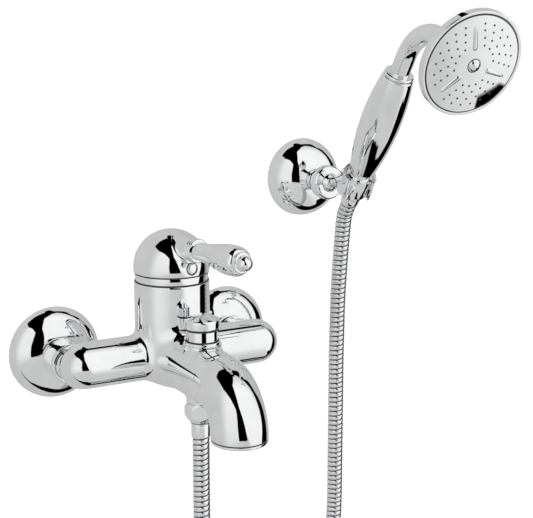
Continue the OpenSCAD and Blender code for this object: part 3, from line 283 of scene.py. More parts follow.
hose_coil, coil_path, coil_length = hose_run("hose_leg_and_coil", 0, riser_start)
fit(hose_coil, hose_metal, "hose_chrome", "mixer", "hose_outlet_leg", "hose_coil")
hose_rise, rise_path, rise_length = hose_run("hose_rise", riser_start, riser_split)
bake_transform(hose_rise)
fit(hose_rise, hose_metal, "hose_chrome", None)
hose_top, top_path, top_length = hose_run("hose_top", riser_split, hose_last)
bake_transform(hose_top)
fit(hose_top, hose_metal, "hose_chrome", None, "hose_riser")


# Hose tie
# A flat strap moulded in black nylon, with fine ribs across it. It is drawn round the three strands at the
# bottom of the coil.
tie_wall = 1.4
tie_w = 12
tie_rib = 0.25
tie_edge = 0.3
tie_steps = 160
tie_in_r = hose_d / 2 + 0.3
coil_step = (riser_route[0][1] - outlet_route[-1][1]) / coil_turns
tie_from = outlet_route[-1][1] + coil_step / 4
tie_to = tie_from + 2 * coil_step
tie_plastic = surface("black_nylon", (0.035, 0.035, 0.037), (0.06, 0.06, 0.062), metallic=0,
                      rough=(0.38, 0.55), cloud=300, grain=4200, bump=0.25)
straight = tie_to - tie_from
round_run = math.pi * tie_in_r
tie_loop = []
for i in range(tie_steps):
    along = i / tie_steps * 2 * (straight + round_run)
    if along < straight:
        middle, out = (tie_from + along, tie_in_r), (0, 1)
    elif along < straight + round_run:
        a = math.pi / 2 - (along - straight) / tie_in_r
        middle, out = (tie_to + tie_in_r * math.cos(a), tie_in_r * math.sin(a)), (math.cos(a), math.sin(a))
    elif along < 2 * straight + round_run:
        middle, out = (tie_to - (along - straight - round_run), -tie_in_r), (0, -1)
    else:
        a = -math.pi / 2 - (along - 2 * straight - round_run) / tie_in_r
        middle, out = (tie_from + tie_in_r * math.cos(a), tie_in_r * math.sin(a)), (math.cos(a), math.sin(a))
    thick = tie_wall - (tie_rib if i % 2 else 0)
    across = [(-0.5, 0.05), (-0.5, thick - tie_edge), (-0.47, thick), (0.47, thick), (0.5, thick - tie_edge),
              (0.5, 0.05)]
    tie_loop.append([(outlet_route[-1][0] + coil_r + w * tie_w, middle[0] + out[0] * d,
                      outlet_route[-1][2] - coil_r + middle[1] + out[1] * d) for w, d in across])
hose_tie = skinned("hose_tie_strap", np.array(tie_loop), loop=True)
fit(hose_tie, tie_plastic, "black_plastic", "mixer", "hose_tie")


# Body casting
# One brass casting, polished and chrome plated: a column for the cartridge, an arm to each inlet, and the
# spout. Its branches run into each other in soft fillets, and its seats are turned flat.
chrome = surface("polished_chrome", (0.86, 0.865, 0.87), (0.92, 0.925, 0.93), metallic=1,
                 rough=(0.012, 0.035), cloud=60, grain=900, bump=0.004)
column_y = -62
column_r = 28.75
column_top = 61.75
arm_z = 4
arm_r = 17.6
arm_reach = 90
foot_depth = 23
spout_z = 2.7
spout_root_r = 22.3
spout_r = 20.4
bend_y = -140.3
bend_r = 32.5
outlet_z = spout_z - bend_r
outlet_y = bend_y - bend_r
diverter_y = -114.5
diverter_seat_r = 14.3
diverter_seat_z = 24.5
shower_y = -110.5
shower_seat_r = 10.6
shower_seat_z = -21
inlet_x = 75
inlet_boss_r = 13
inlet_boss_y = -30
column_hole = 24.6
column_lip_h = 1.5
spout_hole = 17.2
spout_lip_h = 0.6
seat_lip_h = 0.6
seat_cover = 0.05
arm_fillet = 7
spout_fillet = 10
seat_fillet = 3
casting_low = (-95, -200, -36)
casting_high = (95, -26, 64)


def filleted(a, b, width):
    """The lesser of two distances, with a soft fillet where they meet."""
    near = np.maximum(width - np.abs(a - b), 0) / width
    return np.minimum(a, b) - near * near * width / 4


def body_distance(p):
    """Distance in mm from the skin of the casting, less than 0 inside it."""
    x, y, z = p[..., 0], p[..., 1], p[..., 2]
    low = np.minimum(z - arm_z, 0)
    across = np.hypot(x, y - column_y)
    k0 = np.sqrt((across / column_r) ** 2 + (low / foot_depth) ** 2)
    k1 = np.sqrt((across / column_r ** 2) ** 2 + (low / foot_depth ** 2) ** 2) + 1e-9
    column = k0 * (k0 - 1) / k1
    over = np.maximum(np.abs(x) - (arm_reach - arm_r), 0)
    arms = np.sqrt(over ** 2 + (y - column_y) ** 2 + (z - arm_z) ** 2) - arm_r
    run = np.clip((column_y - y) / (column_y - bend_y), 0, 1)
    back = np.maximum(y - column_y, 0)
    straight_r = spout_root_r + (spout_r - spout_root_r) * run
    straight = np.sqrt(x ** 2 + (z - spout_z) ** 2 + back ** 2) - straight_r
    hook = np.hypot(x, np.hypot(y - bend_y, z - outlet_z) - bend_r) - spout_r
    drop = np.hypot(x, y - outlet_y) - spout_r
    spout = np.where(y > bend_y, straight, np.where(z > outlet_z, hook, drop))
    diverter = np.maximum(np.hypot(x, y - diverter_y) - diverter_seat_r + seat_cover,
                          np.maximum(z - diverter_seat_z + seat_lip_h, -z))
    shower = np.maximum(np.hypot(x, y - shower_y) - shower_seat_r + seat_cover,
                        np.maximum(shower_seat_z + seat_lip_h - z, z))
    bosses = np.maximum(np.hypot(np.abs(x) - inlet_x, z) - inlet_boss_r,
                        np.maximum(y - inlet_boss_y, column_y - y))
    skin = filleted(column, arms, arm_fillet)
    skin = filleted(skin, spout, spout_fillet)
    for branch in (diverter, shower, bosses):
        skin = filleted(skin, branch, seat_fillet)
    return skin


def body_slope(p):
    """Which way is out of the casting at each point."""
    step = 0.05
    slope = np.stack([body_distance(p + step * axis) - body_distance(p - step * axis)
                      for axis in np.eye(3)], axis=-1)
    return slope / (np.linalg.norm(slope, axis=-1, keepdims=True) + 1e-12)


def casting_mesh(low, high, step):
    """Quads on the skin of the casting, one corner in each grid cell that the skin crosses."""
    axes = [np.arange(a, b + step, step) for a, b in zip(low, high)]
    grid = np.stack(np.meshgrid(*axes, indexing="ij"), axis=-1)
    inside = body_distance(grid) < 0
    size = np.array(inside.shape)
    quads = []
    for axis in range(3):
        u, v = (axis + 1) % 3, (axis + 2) % 3
        lo = [slice(None)] * 3
        hi = [slice(None)] * 3
        lo[axis], hi[axis] = slice(0, -1), slice(1, None)
        cross = inside[tuple(lo)] != inside[tuple(hi)]
        at = np.argwhere(cross)
        at = at[(at[:, u] > 0) & (at[:, v] > 0) & (at[:, u] < size[u] - 1) & (at[:, v] < size[v] - 1)]
        out = inside[tuple(at.T)]
        corners = []
        for du, dv in ((0, 0), (1, 0), (1, 1), (0, 1)):
            cell = at.copy()
            cell[:, u] -= du
            cell[:, v] -= dv
            corners.append(np.ravel_multi_index(tuple(cell.T), tuple(size)))
        quad = np.stack(corners, axis=1)
        quad[~out] = quad[~out][:, ::-1]
        quads.append(quad)
    quads = np.vstack(quads)
    cells, faces = np.unique(quads, return_inverse=True)
    faces = faces.reshape(-1, 4)
    points = np.stack(np.unravel_index(cells, tuple(size)), axis=1) * step + np.array(low) + step / 2
    edges = np.vstack([faces[:, [0, 1]], faces[:, [1, 2]], faces[:, [2, 3]], faces[:, [3, 0]]])
    for pass_no in range(8):
        if pass_no:
            total = np.zeros_like(points)
            count = np.zeros(len(points))
            np.add.at(total, edges[:, 0], points[edges[:, 1]])
            np.add.at(count, edges[:, 0], 1)
            points = points + 0.5 * (total / np.maximum(count, 1)[:, None] - points)
        for _ in range(4):
            points = points - np.clip(body_distance(points), -step, step)[:, None] * body_slope(points)
    return points, faces


skin_step = 1.5
skin_points, skin_faces = casting_mesh(casting_low, casting_high, skin_step)
body_mesh = bpy.data.meshes.new("body_casting")
body_mesh.from_pydata((skin_points * MM).tolist(), [], skin_faces.tolist())
trim = bmesh.new()
trim.from_mesh(body_mesh)
for cut_z, way in ((column_top - column_lip_h, 1), (outlet_z + spout_lip_h, -1)):
    bmesh.ops.bisect_plane(trim, geom=trim.verts[:] + trim.edges[:] + trim.faces[:],
                           plane_co=(0, 0, cut_z * MM), plane_no=(0, 0, way), clear_outer=True)
trim.to_mesh(body_mesh)
trim.free()
body_mesh.polygons.foreach_set("use_smooth", [True] * len(body_mesh.polygons))
corner = np.empty(len(body_mesh.vertices) * 3)
body_mesh.vertices.foreach_get("co", corner)
body_mesh.normals_split_custom_set_from_vertices(body_slope(corner.reshape(-1, 3) / MM).tolist())
body = bpy.data.objects.new("body_casting", body_mesh)
scene.collection.objects.link(body)
fit(body, chrome, "chrome", "mixer", "mixer_body")


def eased(corners, loop=False, steps=5):
    """A section of (radius, height, ease) in mm with each corner rounded off over its ease."""
    c = [np.array(p[:2], float) for p in corners]
    ease = [p[2] if len(p) > 2 else 0 for p in corners]
    section = []
    for i, point in enumerate(c):
        at_end = not loop and i in (0, len(c) - 1)
        if at_end or ease[i] == 0:
            section.append(tuple(point))
            continue
        to_last, to_next = c[i - 1] - point, c[(i + 1) % len(c)] - point
        far_last, far_next = np.linalg.norm(to_last), np.linalg.norm(to_next)
        a = point + to_last / far_last * min(ease[i], 0.48 * far_last)
        b = point + to_next / far_next * min(ease[i], 0.48 * far_next)
        for t in np.linspace(0, 1, steps):
            section.append(tuple((1 - t) ** 2 * a + 2 * t * (1 - t) * point + t * t * b))
    return section


def arc(x, y, rx, ry, first, last, steps=24):
    """Points on an elliptical arc, with its angles in degrees."""
    return [(x + rx * math.cos(math.radians(a)), y + ry * math.sin(math.radians(a)))
            for a in np.linspace(first, last, steps + 1)]


def placed(points, where):
    """Points carried to a place that its matrix gives."""
    place = np.array(where)
    return np.asarray(points) @ place[:3, :3].T + place[:3, 3]


def turned(name, section, where, crease=35, sides=144, loop=False):
    """A piece turned from a section of (radius, height) in mm about the z axis of where."""
    angle = np.linspace(0, 2 * math.pi, sides, endpoint=False)
    points, rows, faces = [], [], []
    for r, h in section:
        if r < 1e-6:
            rows.append([len(points)])
            points.append((0, 0, h))
            continue
        rows.append(list(range(len(points), len(points) + sides)))
        points += [(r * math.cos(a), r * math.sin(a), h) for a in angle]
    for low, high in zip(rows, rows[1:] + rows[:1] if loop else rows[1:]):
        for k in range(sides):
            q = (k + 1) % sides
            if len(low) == 1 and len(high) == 1:
                break
            if len(low) == 1:
                faces.append((low[0], high[q], high[k]))
            elif len(high) == 1:
                faces.append((low[k], low[q], high[0]))
            else:
                faces.append((low[k], low[q], high[q], high[k]))
    return mesh_piece(name, placed(points, where), faces, crease)


def eased_ring(name, corners, where, sides=144):
    """A ring turned from a closed section with eased corners."""
    return turned(name, eased(corners, loop=True), where, sides=sides, loop=True)


def upright(x, y, z=0):
    """A place whose z axis points up."""
    return Matrix.Translation((x, y, z))


column_lip = eased_ring("column_lip", [
    (column_r, column_top - column_lip_h), (column_r, column_top, 0.5), (column_hole, column_top, 0.3),
    (column_hole, column_top - column_lip_h)], upright(0, column_y))
fit(column_lip, chrome, "chrome", "mixer")
spout_lip = eased_ring("spout_lip", [
    (spout_r, outlet_z + spout_lip_h), (spout_r, outlet_z, 0.35), (spout_hole, outlet_z, 0.2),
    (spout_hole, outlet_z + spout_lip_h)], upright(0, outlet_y))
fit(spout_lip, chrome, "chrome", "mixer")
for name, seat_y, seat_r, hole, root_z, foot_z, seat_z in (
        ("diverter_seat", diverter_y, diverter_seat_r, 9.3, 16, 18, diverter_seat_z),
        ("shower_seat", shower_y, shower_seat_r, 7.7, -12, -14, shower_seat_z)):
    seat_ring = eased_ring(name, [
        (seat_r - 1.5, root_z), (seat_r, foot_z), (seat_r, seat_z, 0.5), (hole, seat_z, 0.2),
        (hole, root_z)], upright(0, seat_y))
    fit(seat_ring, chrome, "chrome", "mixer")


# Inlets
# Chrome-plated brass unions screwed into the wall elbows, a plain round nut drawing each arm on to its
# union over a rubber washer, and a spun brass rosette slid over each union to the wall.
# Black rubber for the real washers and seals. The same material is also painted shade in the dark rings and
# discs set in joints, gaps and holes below.
rubber = surface("black_rubber_and_painted_shade", (0.025, 0.025, 0.025), (0.05, 0.05, 0.05), metallic=0,
                 rough=(0.55, 0.75), cloud=200, grain=3500, bump=0.3)
rosette_r = 36.5
rosette_h = 19
rosette_hole = 11.5
rosette_wall = 1.6
union_nut_r = 15.3
union_nut_hole = 10.65
union_nut_thread_r = 13.15
union_nut_from = 20
union_nut_web = 24
union_nut_to = 42


def off_wall(x, z):
    """A place on the wall whose z axis stands out from it."""
    return Matrix(((1, 0, 0, x), (0, 0, -1, 0), (0, 1, 0, z), (0, 0, 0, 1)))


def rosette_section(r, h, hole, wall):
    """A quarter of an ellipse over the wall, hollow behind, with an eased edge at its hole."""
    outside = arc(hole, 0, r - hole, h, 0, 90, 40)
    inside = arc(hole, 0, r - hole - wall, h - wall, 90, 0, 24)
    return [(r - 0.3, 0)] + outside[1:-1] + [(hole + 0.4, h - 0.02), (hole, h - 0.35)] + inside[1:]


def dress(material, *nodes):
    """Gives CAD nodes that stay in view their own material."""
    for node in nodes:
        node_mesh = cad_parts[node].data
        node_mesh.materials.clear()
        node_mesh.materials.append(material)


for side, where in (("left", -1), ("right", 1)):
    wall_place = off_wall(where * inlet_x, 0)
    inlet_section = rosette_section(rosette_r, rosette_h, rosette_hole, rosette_wall)
    rosette = turned(f"{side}_wall_rosette", inlet_section, wall_place, crease=50, sides=192, loop=True)
    fit(rosette, chrome, "chrome", "mixer", f"{side}_rosette")
    nut = eased_ring(f"{side}_round_nut", [
        (union_nut_hole, union_nut_from, 0.2), (union_nut_r - 1.1, union_nut_from, 0.2),
        (union_nut_r, union_nut_from + 1.3, 0.5), (union_nut_r, union_nut_web - 0.4, 0.15),
        (union_nut_r - 0.4, union_nut_web - 0.1, 0.1), (union_nut_r, union_nut_web + 0.2, 0.15),
        (union_nut_r, union_nut_to - 1.4, 0.6), (union_nut_r - 0.7, union_nut_to, 0.5),
        (union_nut_thread_r, union_nut_to, 0.2), (union_nut_thread_r, union_nut_web),
        (union_nut_hole, union_nut_web)], wall_place)
    fit(nut, chrome, "chrome", "mixer", f"{side}_union_nut")
dress(chrome, "left_inlet_union", "right_inlet_union")
dress(rubber, "inlet_washers")


# Cartridge
# The valve inside the column: acetal base, housing and carrier, two lapped ceramic discs, rubber port
# seals, a steel pin, and a brass spindle and hold-down nut. Hidden once the dome is on.
acetal = surface("white_acetal", (0.78, 0.78, 0.75), (0.86, 0.86, 0.84), metallic=0,
                 rough=(0.35, 0.5), cloud=90, grain=2500, bump=0.08)
ceramic = surface("lapped_ceramic", (0.86, 0.82, 0.75), (0.93, 0.90, 0.84), metallic=0,
                  rough=(0.12, 0.22), cloud=400, grain=6000, bump=0.03)
brass = surface("turned_brass", (0.62, 0.46, 0.19), (0.76, 0.60, 0.31), metallic=1,
                rough=(0.18, 0.32), cloud=130, grain=3000, bump=0.08)
steel = surface("zinc_plated_steel", (0.48, 0.49, 0.50), (0.64, 0.65, 0.66), metallic=1,
                rough=(0.25, 0.42), cloud=180, grain=2800, bump=0.1)
dress(acetal, "cartridge_base", "cartridge_housing", "stem_carrier")
dress(ceramic, "fixed_disc", "moving_disc")
dress(rubber, "cartridge_seals")
dress(steel, "pivot_pin")
dress(brass, "spindle", "cartridge_nut")


# Lever
# A plated brass dome on the cartridge spindle, held by a set screw under a round index button. A turned
# neck with three thin rings carries the flared handle, which ends in a ringed button. A plain collar
# fills the joint between the dome and the column.
lever_swing = 8
lever_z = 89.8
dome_z = 72.4
dome_r = 29
dome_rim = 69
dome_skirt_r = 28.2
dome_hollow = 5
collar_r = 27.9
collar_hole = 20.6
collar_top = 68.65
slip_ring_r = 28.35
slip_ring_in_r = collar_r - 1
slip_ring_h = 1
neck_foot_r = 10.8
lever_neck_r = 7.5
neck_root_r = 6.5
neck_root_h = 5
neck_sides = 96
ring_from = 31
ring_to = 38.2
ring_r = 9.1
ring_bulge = 1.3
slim_r = 7
thick_r = 11.1
handle_end = 91
handle_crown = 7
flare_from = ring_to + 4
flare_to = handle_end - 10
end_ring_r = 8
end_ring_bulge = 1.2
end_button_r = 5.8
end_button_h = 4.2
index_z = 75
index_r = 4.4
index_depth = 1.9
index_crown = 1.5
index_gap = 0.65


def along_lever(z):
    """A place on the column's axis whose z axis points out along the lever."""
    return (Matrix.Translation((0, column_y, 0)) @ Matrix.Rotation(math.radians(lever_swing), 4, "Z")
            @ Matrix.Translation((0, 0, z)) @ Matrix.Rotation(math.radians(90), 4, "X"))


def dome_height(r, up, axis_z):
    """Height of the dome along the lever's way, at a distance r round an axis of the given height."""
    return np.sqrt(dome_r ** 2 - (r * np.cos(up)) ** 2 - (r * np.sin(up) + axis_z - dome_z) ** 2)


def painted_shade_ring(name, inner, outer, low, high, where):
    """A plain black ring of square section, fixed on the mixer, set in a joint as painted shade."""
    ring = turned(name, [(inner, low), (outer, low), (outer, high), (inner, high)], where, loop=True)
    fit(ring, rubber, "rubber", "mixer")


collar = eased_ring("trim_ring", [
    (collar_hole, column_top, 0.1), (collar_r, column_top, 0.35), (collar_r, collar_top, 0.5),
    (collar_hole, collar_top, 0.1)], upright(0, column_y))
fit(collar, chrome, "chrome", "mixer", "trim_collar")
# Painted shade: black rings in the joints above and below the collar, where shade falls.
for name, low in (("column_joint_painted_shade", column_top), ("dome_joint_painted_shade", collar_top - 0.75)):
    painted_shade_ring(name, slip_ring_in_r, slip_ring_r, low, low + slip_ring_h, upright(0, column_y))
rim_angle = math.degrees(math.asin((dome_rim + 0.5 - dome_z) / dome_r))
dome = turned("lever_dome", [
    (0, dome_rim + dome_hollow), (dome_skirt_r, dome_rim + dome_hollow), (dome_skirt_r, dome_rim + 0.15),
    (dome_skirt_r + 0.12, dome_rim), (dome_skirt_r + 0.45, dome_rim), (dome_skirt_r + 0.58, dome_rim + 0.12)]
    + arc(0, dome_z, dome_r, dome_r, rim_angle, 90, 64), upright(0, column_y), sides=192)
fit(dome, chrome, "chrome", "lever", "dome_cap")
# The neck leaves the dome along the dome's own slope and bends from its foot into the straight
neck_angle = np.linspace(0, 2 * math.pi, neck_sides, endpoint=False)
foot_h = dome_height(neck_foot_r, neck_angle, lever_z)
slope_step = 0.05
foot_slope = (foot_h - dome_height(neck_foot_r - slope_step, neck_angle, lever_z)) / slope_step
bend_h = np.minimum(foot_h + foot_slope * (lever_neck_r - neck_foot_r), ring_from - 1.5)
neck_rows = [(np.full(neck_sides, neck_root_r), np.full(neck_sides, neck_root_h)),
             (np.full(neck_sides, neck_foot_r), foot_h - 0.1)]
for t in np.linspace(0, 1, 20):
    left = (1 - t) ** 2
    neck_rows.append((left * neck_foot_r + (1 - left) * lever_neck_r,
                      left * foot_h + 2 * t * (1 - t) * bend_h + t * t * (ring_from - 0.5)))
ring_w = (ring_to - ring_from) / 3
ring_foot_r = ring_r - ring_bulge
ring_section = [(ring_foot_r, ring_from)]
for i in range(3):
    ring_section += arc(ring_foot_r, ring_from + (i + 0.5) * ring_w, ring_bulge, ring_w / 2, -88, 88, 12)
ring_section.append((ring_foot_r, ring_to))
neck_rows += [(r, np.full(neck_sides, h)) for r, h in ring_section]
neck_points = [np.stack([r * np.cos(neck_angle), r * np.sin(neck_angle), h], axis=1) for r, h in neck_rows]
neck = skinned("lever_neck_rings", placed(neck_points, along_lever(lever_z)), crease=50)
fit(neck, chrome, "chrome", "lever", "lever_neck")
flare = [(slim_r + (thick_r - slim_r) * (1 - math.cos(math.pi * t)) / 2,
          flare_from + (flare_to - flare_from) * t) for t in np.linspace(0, 1, 40)]
crown_r = end_ring_r - 0.5
handle = turned("lever_grip", [(0, ring_to), (slim_r, ring_to)] + flare
                + arc(crown_r, handle_end - handle_crown, thick_r - crown_r, handle_crown, 20, 90, 20)
                + [(0, handle_end)], along_lever(lever_z), crease=50)
fit(handle, chrome, "chrome", "lever", "lever_handle")
end_ring_to = handle_end + 2 * end_ring_bulge
button = turned("lever_button", [(0, handle_end)]
                + arc(end_ring_r - end_ring_bulge, handle_end + end_ring_bulge, end_ring_bulge,
                      end_ring_bulge, -90, 90, 14)
                + [(end_button_r + 0.1, end_ring_to), (end_button_r, end_ring_to + 0.1)]
                + arc(0, handle_end + end_button_h, end_button_r, end_button_r, 0, 90, 24),
                along_lever(lever_z), crease=50)
fit(button, chrome, "chrome", "lever", "lever_end_button")
cap_r = index_r - 0.1
cap_seat = dome_r - 0.2
index = turned("index_cap", [(0, dome_r - index_depth), (cap_r, dome_r - index_depth), (cap_r, cap_seat)]
               + arc(0, cap_seat, cap_r, index_crown, 4, 90, 20), along_lever(index_z), sides=72, crease=25)
fit(index, chrome, "chrome", "lever", "index_button")
# Painted shade: a black ring that follows the dome round the index button, over the gap where shade falls.
gap_section = ((cap_r, -0.4), (index_r + index_gap, -0.4), (index_r + index_gap, 0.04), (cap_r, 0.06))
gap_rows = [[(r * math.cos(a), r * math.sin(a), dome_height(r, a, index_z) + h) for r, h in gap_section]
            for a in np.linspace(0, 2 * math.pi, 72, endpoint=False)]
index_gap_painted_shade = skinned("index_gap_painted_shade", placed(gap_rows, along_lever(index_z)), loop=True)
fit(index_gap_painted_shade, rubber, "rubber", "lever")
dress(steel, "set_screw")


# Aerator
# A plated brass ring screwed into the end of the spout over a rubber washer, with a moulded acetal
# insert whose small holes mix air into the water.
aerator_r = spout_r - 0.2
aerator_groove_r = spout_r - 1.2
aerator_groove = 0.9
aerator_thread_r = 17
aerator_hole = 15
aerator_up = 8
aerator_down = 3
aerator = eased_ring("aerator_ring", [
    (aerator_thread_r, aerator_up, 0.3), (aerator_thread_r, 0.1), (aerator_groove_r, 0),
    (aerator_groove_r, -aerator_groove), (aerator_r, -aerator_groove, 0.2), (aerator_r, -aerator_down, 0.9),
    (aerator_hole, -aerator_down, 0.6), (aerator_hole, aerator_up, 0.3)], upright(0, outlet_y, outlet_z))
fit(aerator, chrome, "chrome", "mixer", "aerator_housing")
# A black ring in the groove where the aerator meets the spout: partly the washer that shows there, partly
# painted shade in the joint.
painted_shade_ring("spout_washer_and_painted_shade", aerator_groove_r - 0.1, aerator_r - 0.05, -0.05, 0.05 - aerator_groove,
            upright(0, outlet_y, outlet_z))
dress(acetal, "aerator_insert")
dress(rubber, "aerator_washer")


# Diverter
# A plated bonnet screwed into its seat on the spout, with an O-ring round the brass rod. Pulling the
# knob lifts the rod's washer from the spout's waterway to send the water to the shower.
bonnet_r = 11.5
bonnet_low = 13
bonnet_top = 35
bonnet_thread_r = 9
bonnet_foot_r = diverter_seat_r - 0.8
bonnet_foot_top = diverter_seat_z + 2
rod_hole = 3.05
knob_r = 13.2
knob_z = 36
knob_h = 10.5
knob_edge = 1
knob_shoulder = 2
knob_crown = 4
knob_crown_r = knob_r - 3
knob_shade_in_r = 5
bonnet = eased_ring("diverter_sleeve", [
    (bonnet_thread_r, bonnet_low), (bonnet_thread_r, diverter_seat_z, 0.1),
    (bonnet_foot_r, diverter_seat_z, 0.1), (bonnet_foot_r, bonnet_foot_top, 0.6),
    (bonnet_r, bonnet_foot_top, 0.3), (bonnet_r, bonnet_top, 0.6), (rod_hole, bonnet_top),
    (rod_hole, bonnet_low)], upright(0, diverter_y))
fit(bonnet, chrome, "chrome", "mixer", "diverter_bonnet")
# Painted shade: a black ring filling the gap under the knob, where shade falls.
painted_shade_ring("knob_gap_painted_shade", knob_shade_in_r, bonnet_r + 0.9, bonnet_top - 0.4, knob_z - 0.04,
            upright(0, diverter_y))
# Painted shade: a black ring in the corner where the bonnet's foot steps in to the sleeve.
painted_shade_ring("bonnet_step_painted_shade", bonnet_r - 0.5, bonnet_r + 0.7, bonnet_foot_top - 0.1, bonnet_foot_top + 0.7,
            upright(0, diverter_y))
knob_top = knob_z + knob_h
knob = turned("diverter_pull_knob", [(0, knob_z), (knob_r - knob_edge, knob_z)]
              + arc(knob_r - knob_edge, knob_z + knob_edge, knob_edge, knob_edge, -90, 0, 8)
              + arc(knob_r - knob_shoulder, knob_top - knob_crown - knob_edge, knob_shoulder, knob_shoulder,
                    0, 50, 10)
              + arc(0, knob_top - knob_crown, knob_crown_r, knob_crown, 30, 90, 24),
              upright(0, diverter_y), crease=40)
fit(knob, chrome, "chrome", "diverter", "diverter_knob")
dress(rubber, "diverter_oring", "valve_washer")
dress(brass, "diverter_rod")


# Shower outlet
# A plated nipple in the seat under the spout. A hexagon nut with chamfered corners pulls the hose's
# crimped ferrule up to it over a washer.
nipple_hole = 5
nipple_r = 7.5
nipple_thread_r = 8.9
nipple_top = -13
nipple_low = -31
hex_flats = 21
hex_low = -36.5
hex_high = -22
hex_thread_r = 9.1
hex_hole = 7.35
hex_web = 1.5
hex_sides = 180
ferrule_r = 7.2
ferrule_flange_r = 8.7
ferrule_top = -33
ferrule_flange = -35
ferrule_crimp = -38
ferrule_low = -48
hose_hole = 4.2
nipple = eased_ring("shower_nipple", [
    (nipple_hole, nipple_top), (nipple_r, nipple_top), (nipple_r, shower_seat_z),
    (nipple_thread_r, shower_seat_z, 0.2), (nipple_thread_r, nipple_low, 0.4),
    (nipple_hole, nipple_low)], upright(0, shower_y))
fit(nipple, chrome, "chrome", "mixer", "outlet_nipple")
hex_corner = hex_flats / math.sqrt(3)
hex_angle = np.linspace(0, 2 * math.pi, hex_sides, endpoint=False)
hex_edge = hex_flats / 2 / np.cos((hex_angle + math.radians(30)) % math.radians(60) - math.radians(30))
hex_levels = np.concatenate([hex_low + np.array([0, 0.15, 0.6, 1.2, 1.8, 2.4, 3, 3.6, 4.2, 5]),
                             hex_high - np.array([3, 2.5, 2, 1.6, 1.2, 0.9, 0.6, 0.3, 0.1, 0])])
hex_rows = []
for level in hex_levels:
    chamfer_r = min(hex_corner - 4 + (level - hex_low) * 0.8, hex_corner - 1.8 + (hex_high - level) * 0.6)
    hex_rows.append((np.minimum(hex_edge, chamfer_r), level))
hex_rows += [(hex_thread_r, hex_high), (hex_thread_r, hex_low + hex_web), (hex_hole, hex_low + hex_web),
             (hex_hole, hex_low)]
hex_rings = [np.stack([r * np.cos(hex_angle), r * np.sin(hex_angle), np.full(hex_sides, level)], axis=1)
             for r, level in hex_rows]
hose_nut = skinned("hose_hexagon_nut", placed(hex_rings, upright(0, shower_y)), crease=18, loop=True)
fit(hose_nut, chrome, "chrome", "mixer", "hose_nut")
# Painted shade: a black ring under the hexagon nut, round the ferrule, where shade falls.
painted_shade_ring("hose_nut_painted_shade", ferrule_r - 0.1, ferrule_r + 0.7, hex_low - 0.6, hex_low + 0.1,
            upright(0, shower_y))
ferrule = eased_ring("hose_lower_ferrule", [
    (hose_hole, ferrule_top), (ferrule_flange_r, ferrule_top), (ferrule_flange_r, ferrule_flange, 0.2),
    (ferrule_r, ferrule_flange), (ferrule_r, ferrule_crimp + 0.4, 0.2), (ferrule_r - 0.3, ferrule_crimp, 0.2),
    (ferrule_r, ferrule_crimp - 0.4, 0.2), (ferrule_r, ferrule_low, 0.5),
    (hose_hole, ferrule_low)], upright(0, shower_y))
fit(ferrule, chrome, "chrome", "mixer", "hose_start_ferrule")
dress(rubber, "hose_washer")


# Wall bracket
# A steel plate screwed to the wall behind a spun rosette, and a trumpet-shaped plated stem whose mouth
# holds the ball of the holder under a screwed ring.
bracket_x = 151
bracket_z = 125
bracket_rosette_r = 33
bracket_rosette_h = 24
ball_out = 44
ball_r = 8.4
socket_r = ball_r + 0.3
stem_r = 8.5
stem_end_r = 14
stem_hole = 7.15
stem_hole_end = 12
stem_foot = 3
flare_out = ball_out - 5
mouth_out = ball_out + 1
ball_ring_hole = 8.75
ball_ring_lip_r = 7.6
ball_ring_top = mouth_out + 3
bracket_place = off_wall(bracket_x, bracket_z)
bracket_section = rosette_section(bracket_rosette_r, bracket_rosette_h, stem_r + 0.15, rosette_wall)
bracket_cover = turned("bracket_wall_rosette", bracket_section, bracket_place, crease=50, sides=192,
                       loop=True)
fit(bracket_cover, chrome, "chrome", "mixer", "bracket_rosette")
trumpet = [(stem_r + (stem_end_r - stem_r) * t ** 1.6,
            bracket_rosette_h + (flare_out - bracket_rosette_h) * t) for t in np.linspace(0, 1, 30)]
socket = arc(0, ball_out, socket_r, socket_r, -90, 0, 16)
foot = [(stem_hole, stem_hole_end), (stem_hole, stem_foot), (stem_r, stem_foot)]
mouth = [(stem_end_r, mouth_out - 0.3), (stem_end_r - 0.3, mouth_out), (socket_r, mouth_out)]
stem = turned("bracket_trumpet_stem", foot + trumpet + mouth + socket[::-1] + [(0, stem_hole_end)],
              bracket_place, crease=50)
fit(stem, chrome, "chrome", "mixer", "bracket_stem")
ball_ring = eased_ring("ball_ring", [
    (ball_ring_hole, mouth_out), (stem_end_r - 0.2, mouth_out, 0.2), (stem_end_r, mouth_out + 0.3, 0.1),
    (stem_end_r, ball_ring_top - 1.5, 0.6), (stem_end_r - 1.5, ball_ring_top, 0.6),
    (ball_ring_lip_r, ball_ring_top, 0.2)], bracket_place)
fit(ball_ring, chrome, "chrome", "mixer", "socket_ring")
dress(steel, "bracket_plate", "bracket_screws")


# Holder
# A plated brass casting: the ball in the bracket, a neck that flares from it, and the conical cup that
# the handset's nut sits in, open in front for the hose.
cup_at = (bracket_x, -89, 132)
cup_tilt = 32
cup_up = 5
cup_down = 12
cup_r = 13.2
cup_low_r = 14.3
cup_hole_r = 11.2
cup_hole_low_r = 10.7
cup_slot = 14
cup_sink = 0.4
ball_neck_r = 4.5
neck_root = 8
neck_from = ball_r + 3
in_cup = Matrix.Translation(cup_at) @ Matrix.Rotation(math.radians(cup_tilt), 4, "X")
to_cup = in_cup.inverted()
ball_at = Vector((bracket_x, -ball_out, bracket_z))
neck_way = (Vector(cup_at) - ball_at).normalized()
neck_side = Vector((1, 0, 0))
neck_up = neck_way.cross(neck_side)
flare_len = (Vector(cup_at) - ball_at).length - ball_r - 13


def flare_r(d):
    """Radius of the neck at a distance from the middle of the ball."""
    t = max(0.0, (d - neck_from) / flare_len)
    return ball_neck_r + (cup_r - 1 - ball_neck_r) * t ** 1.1


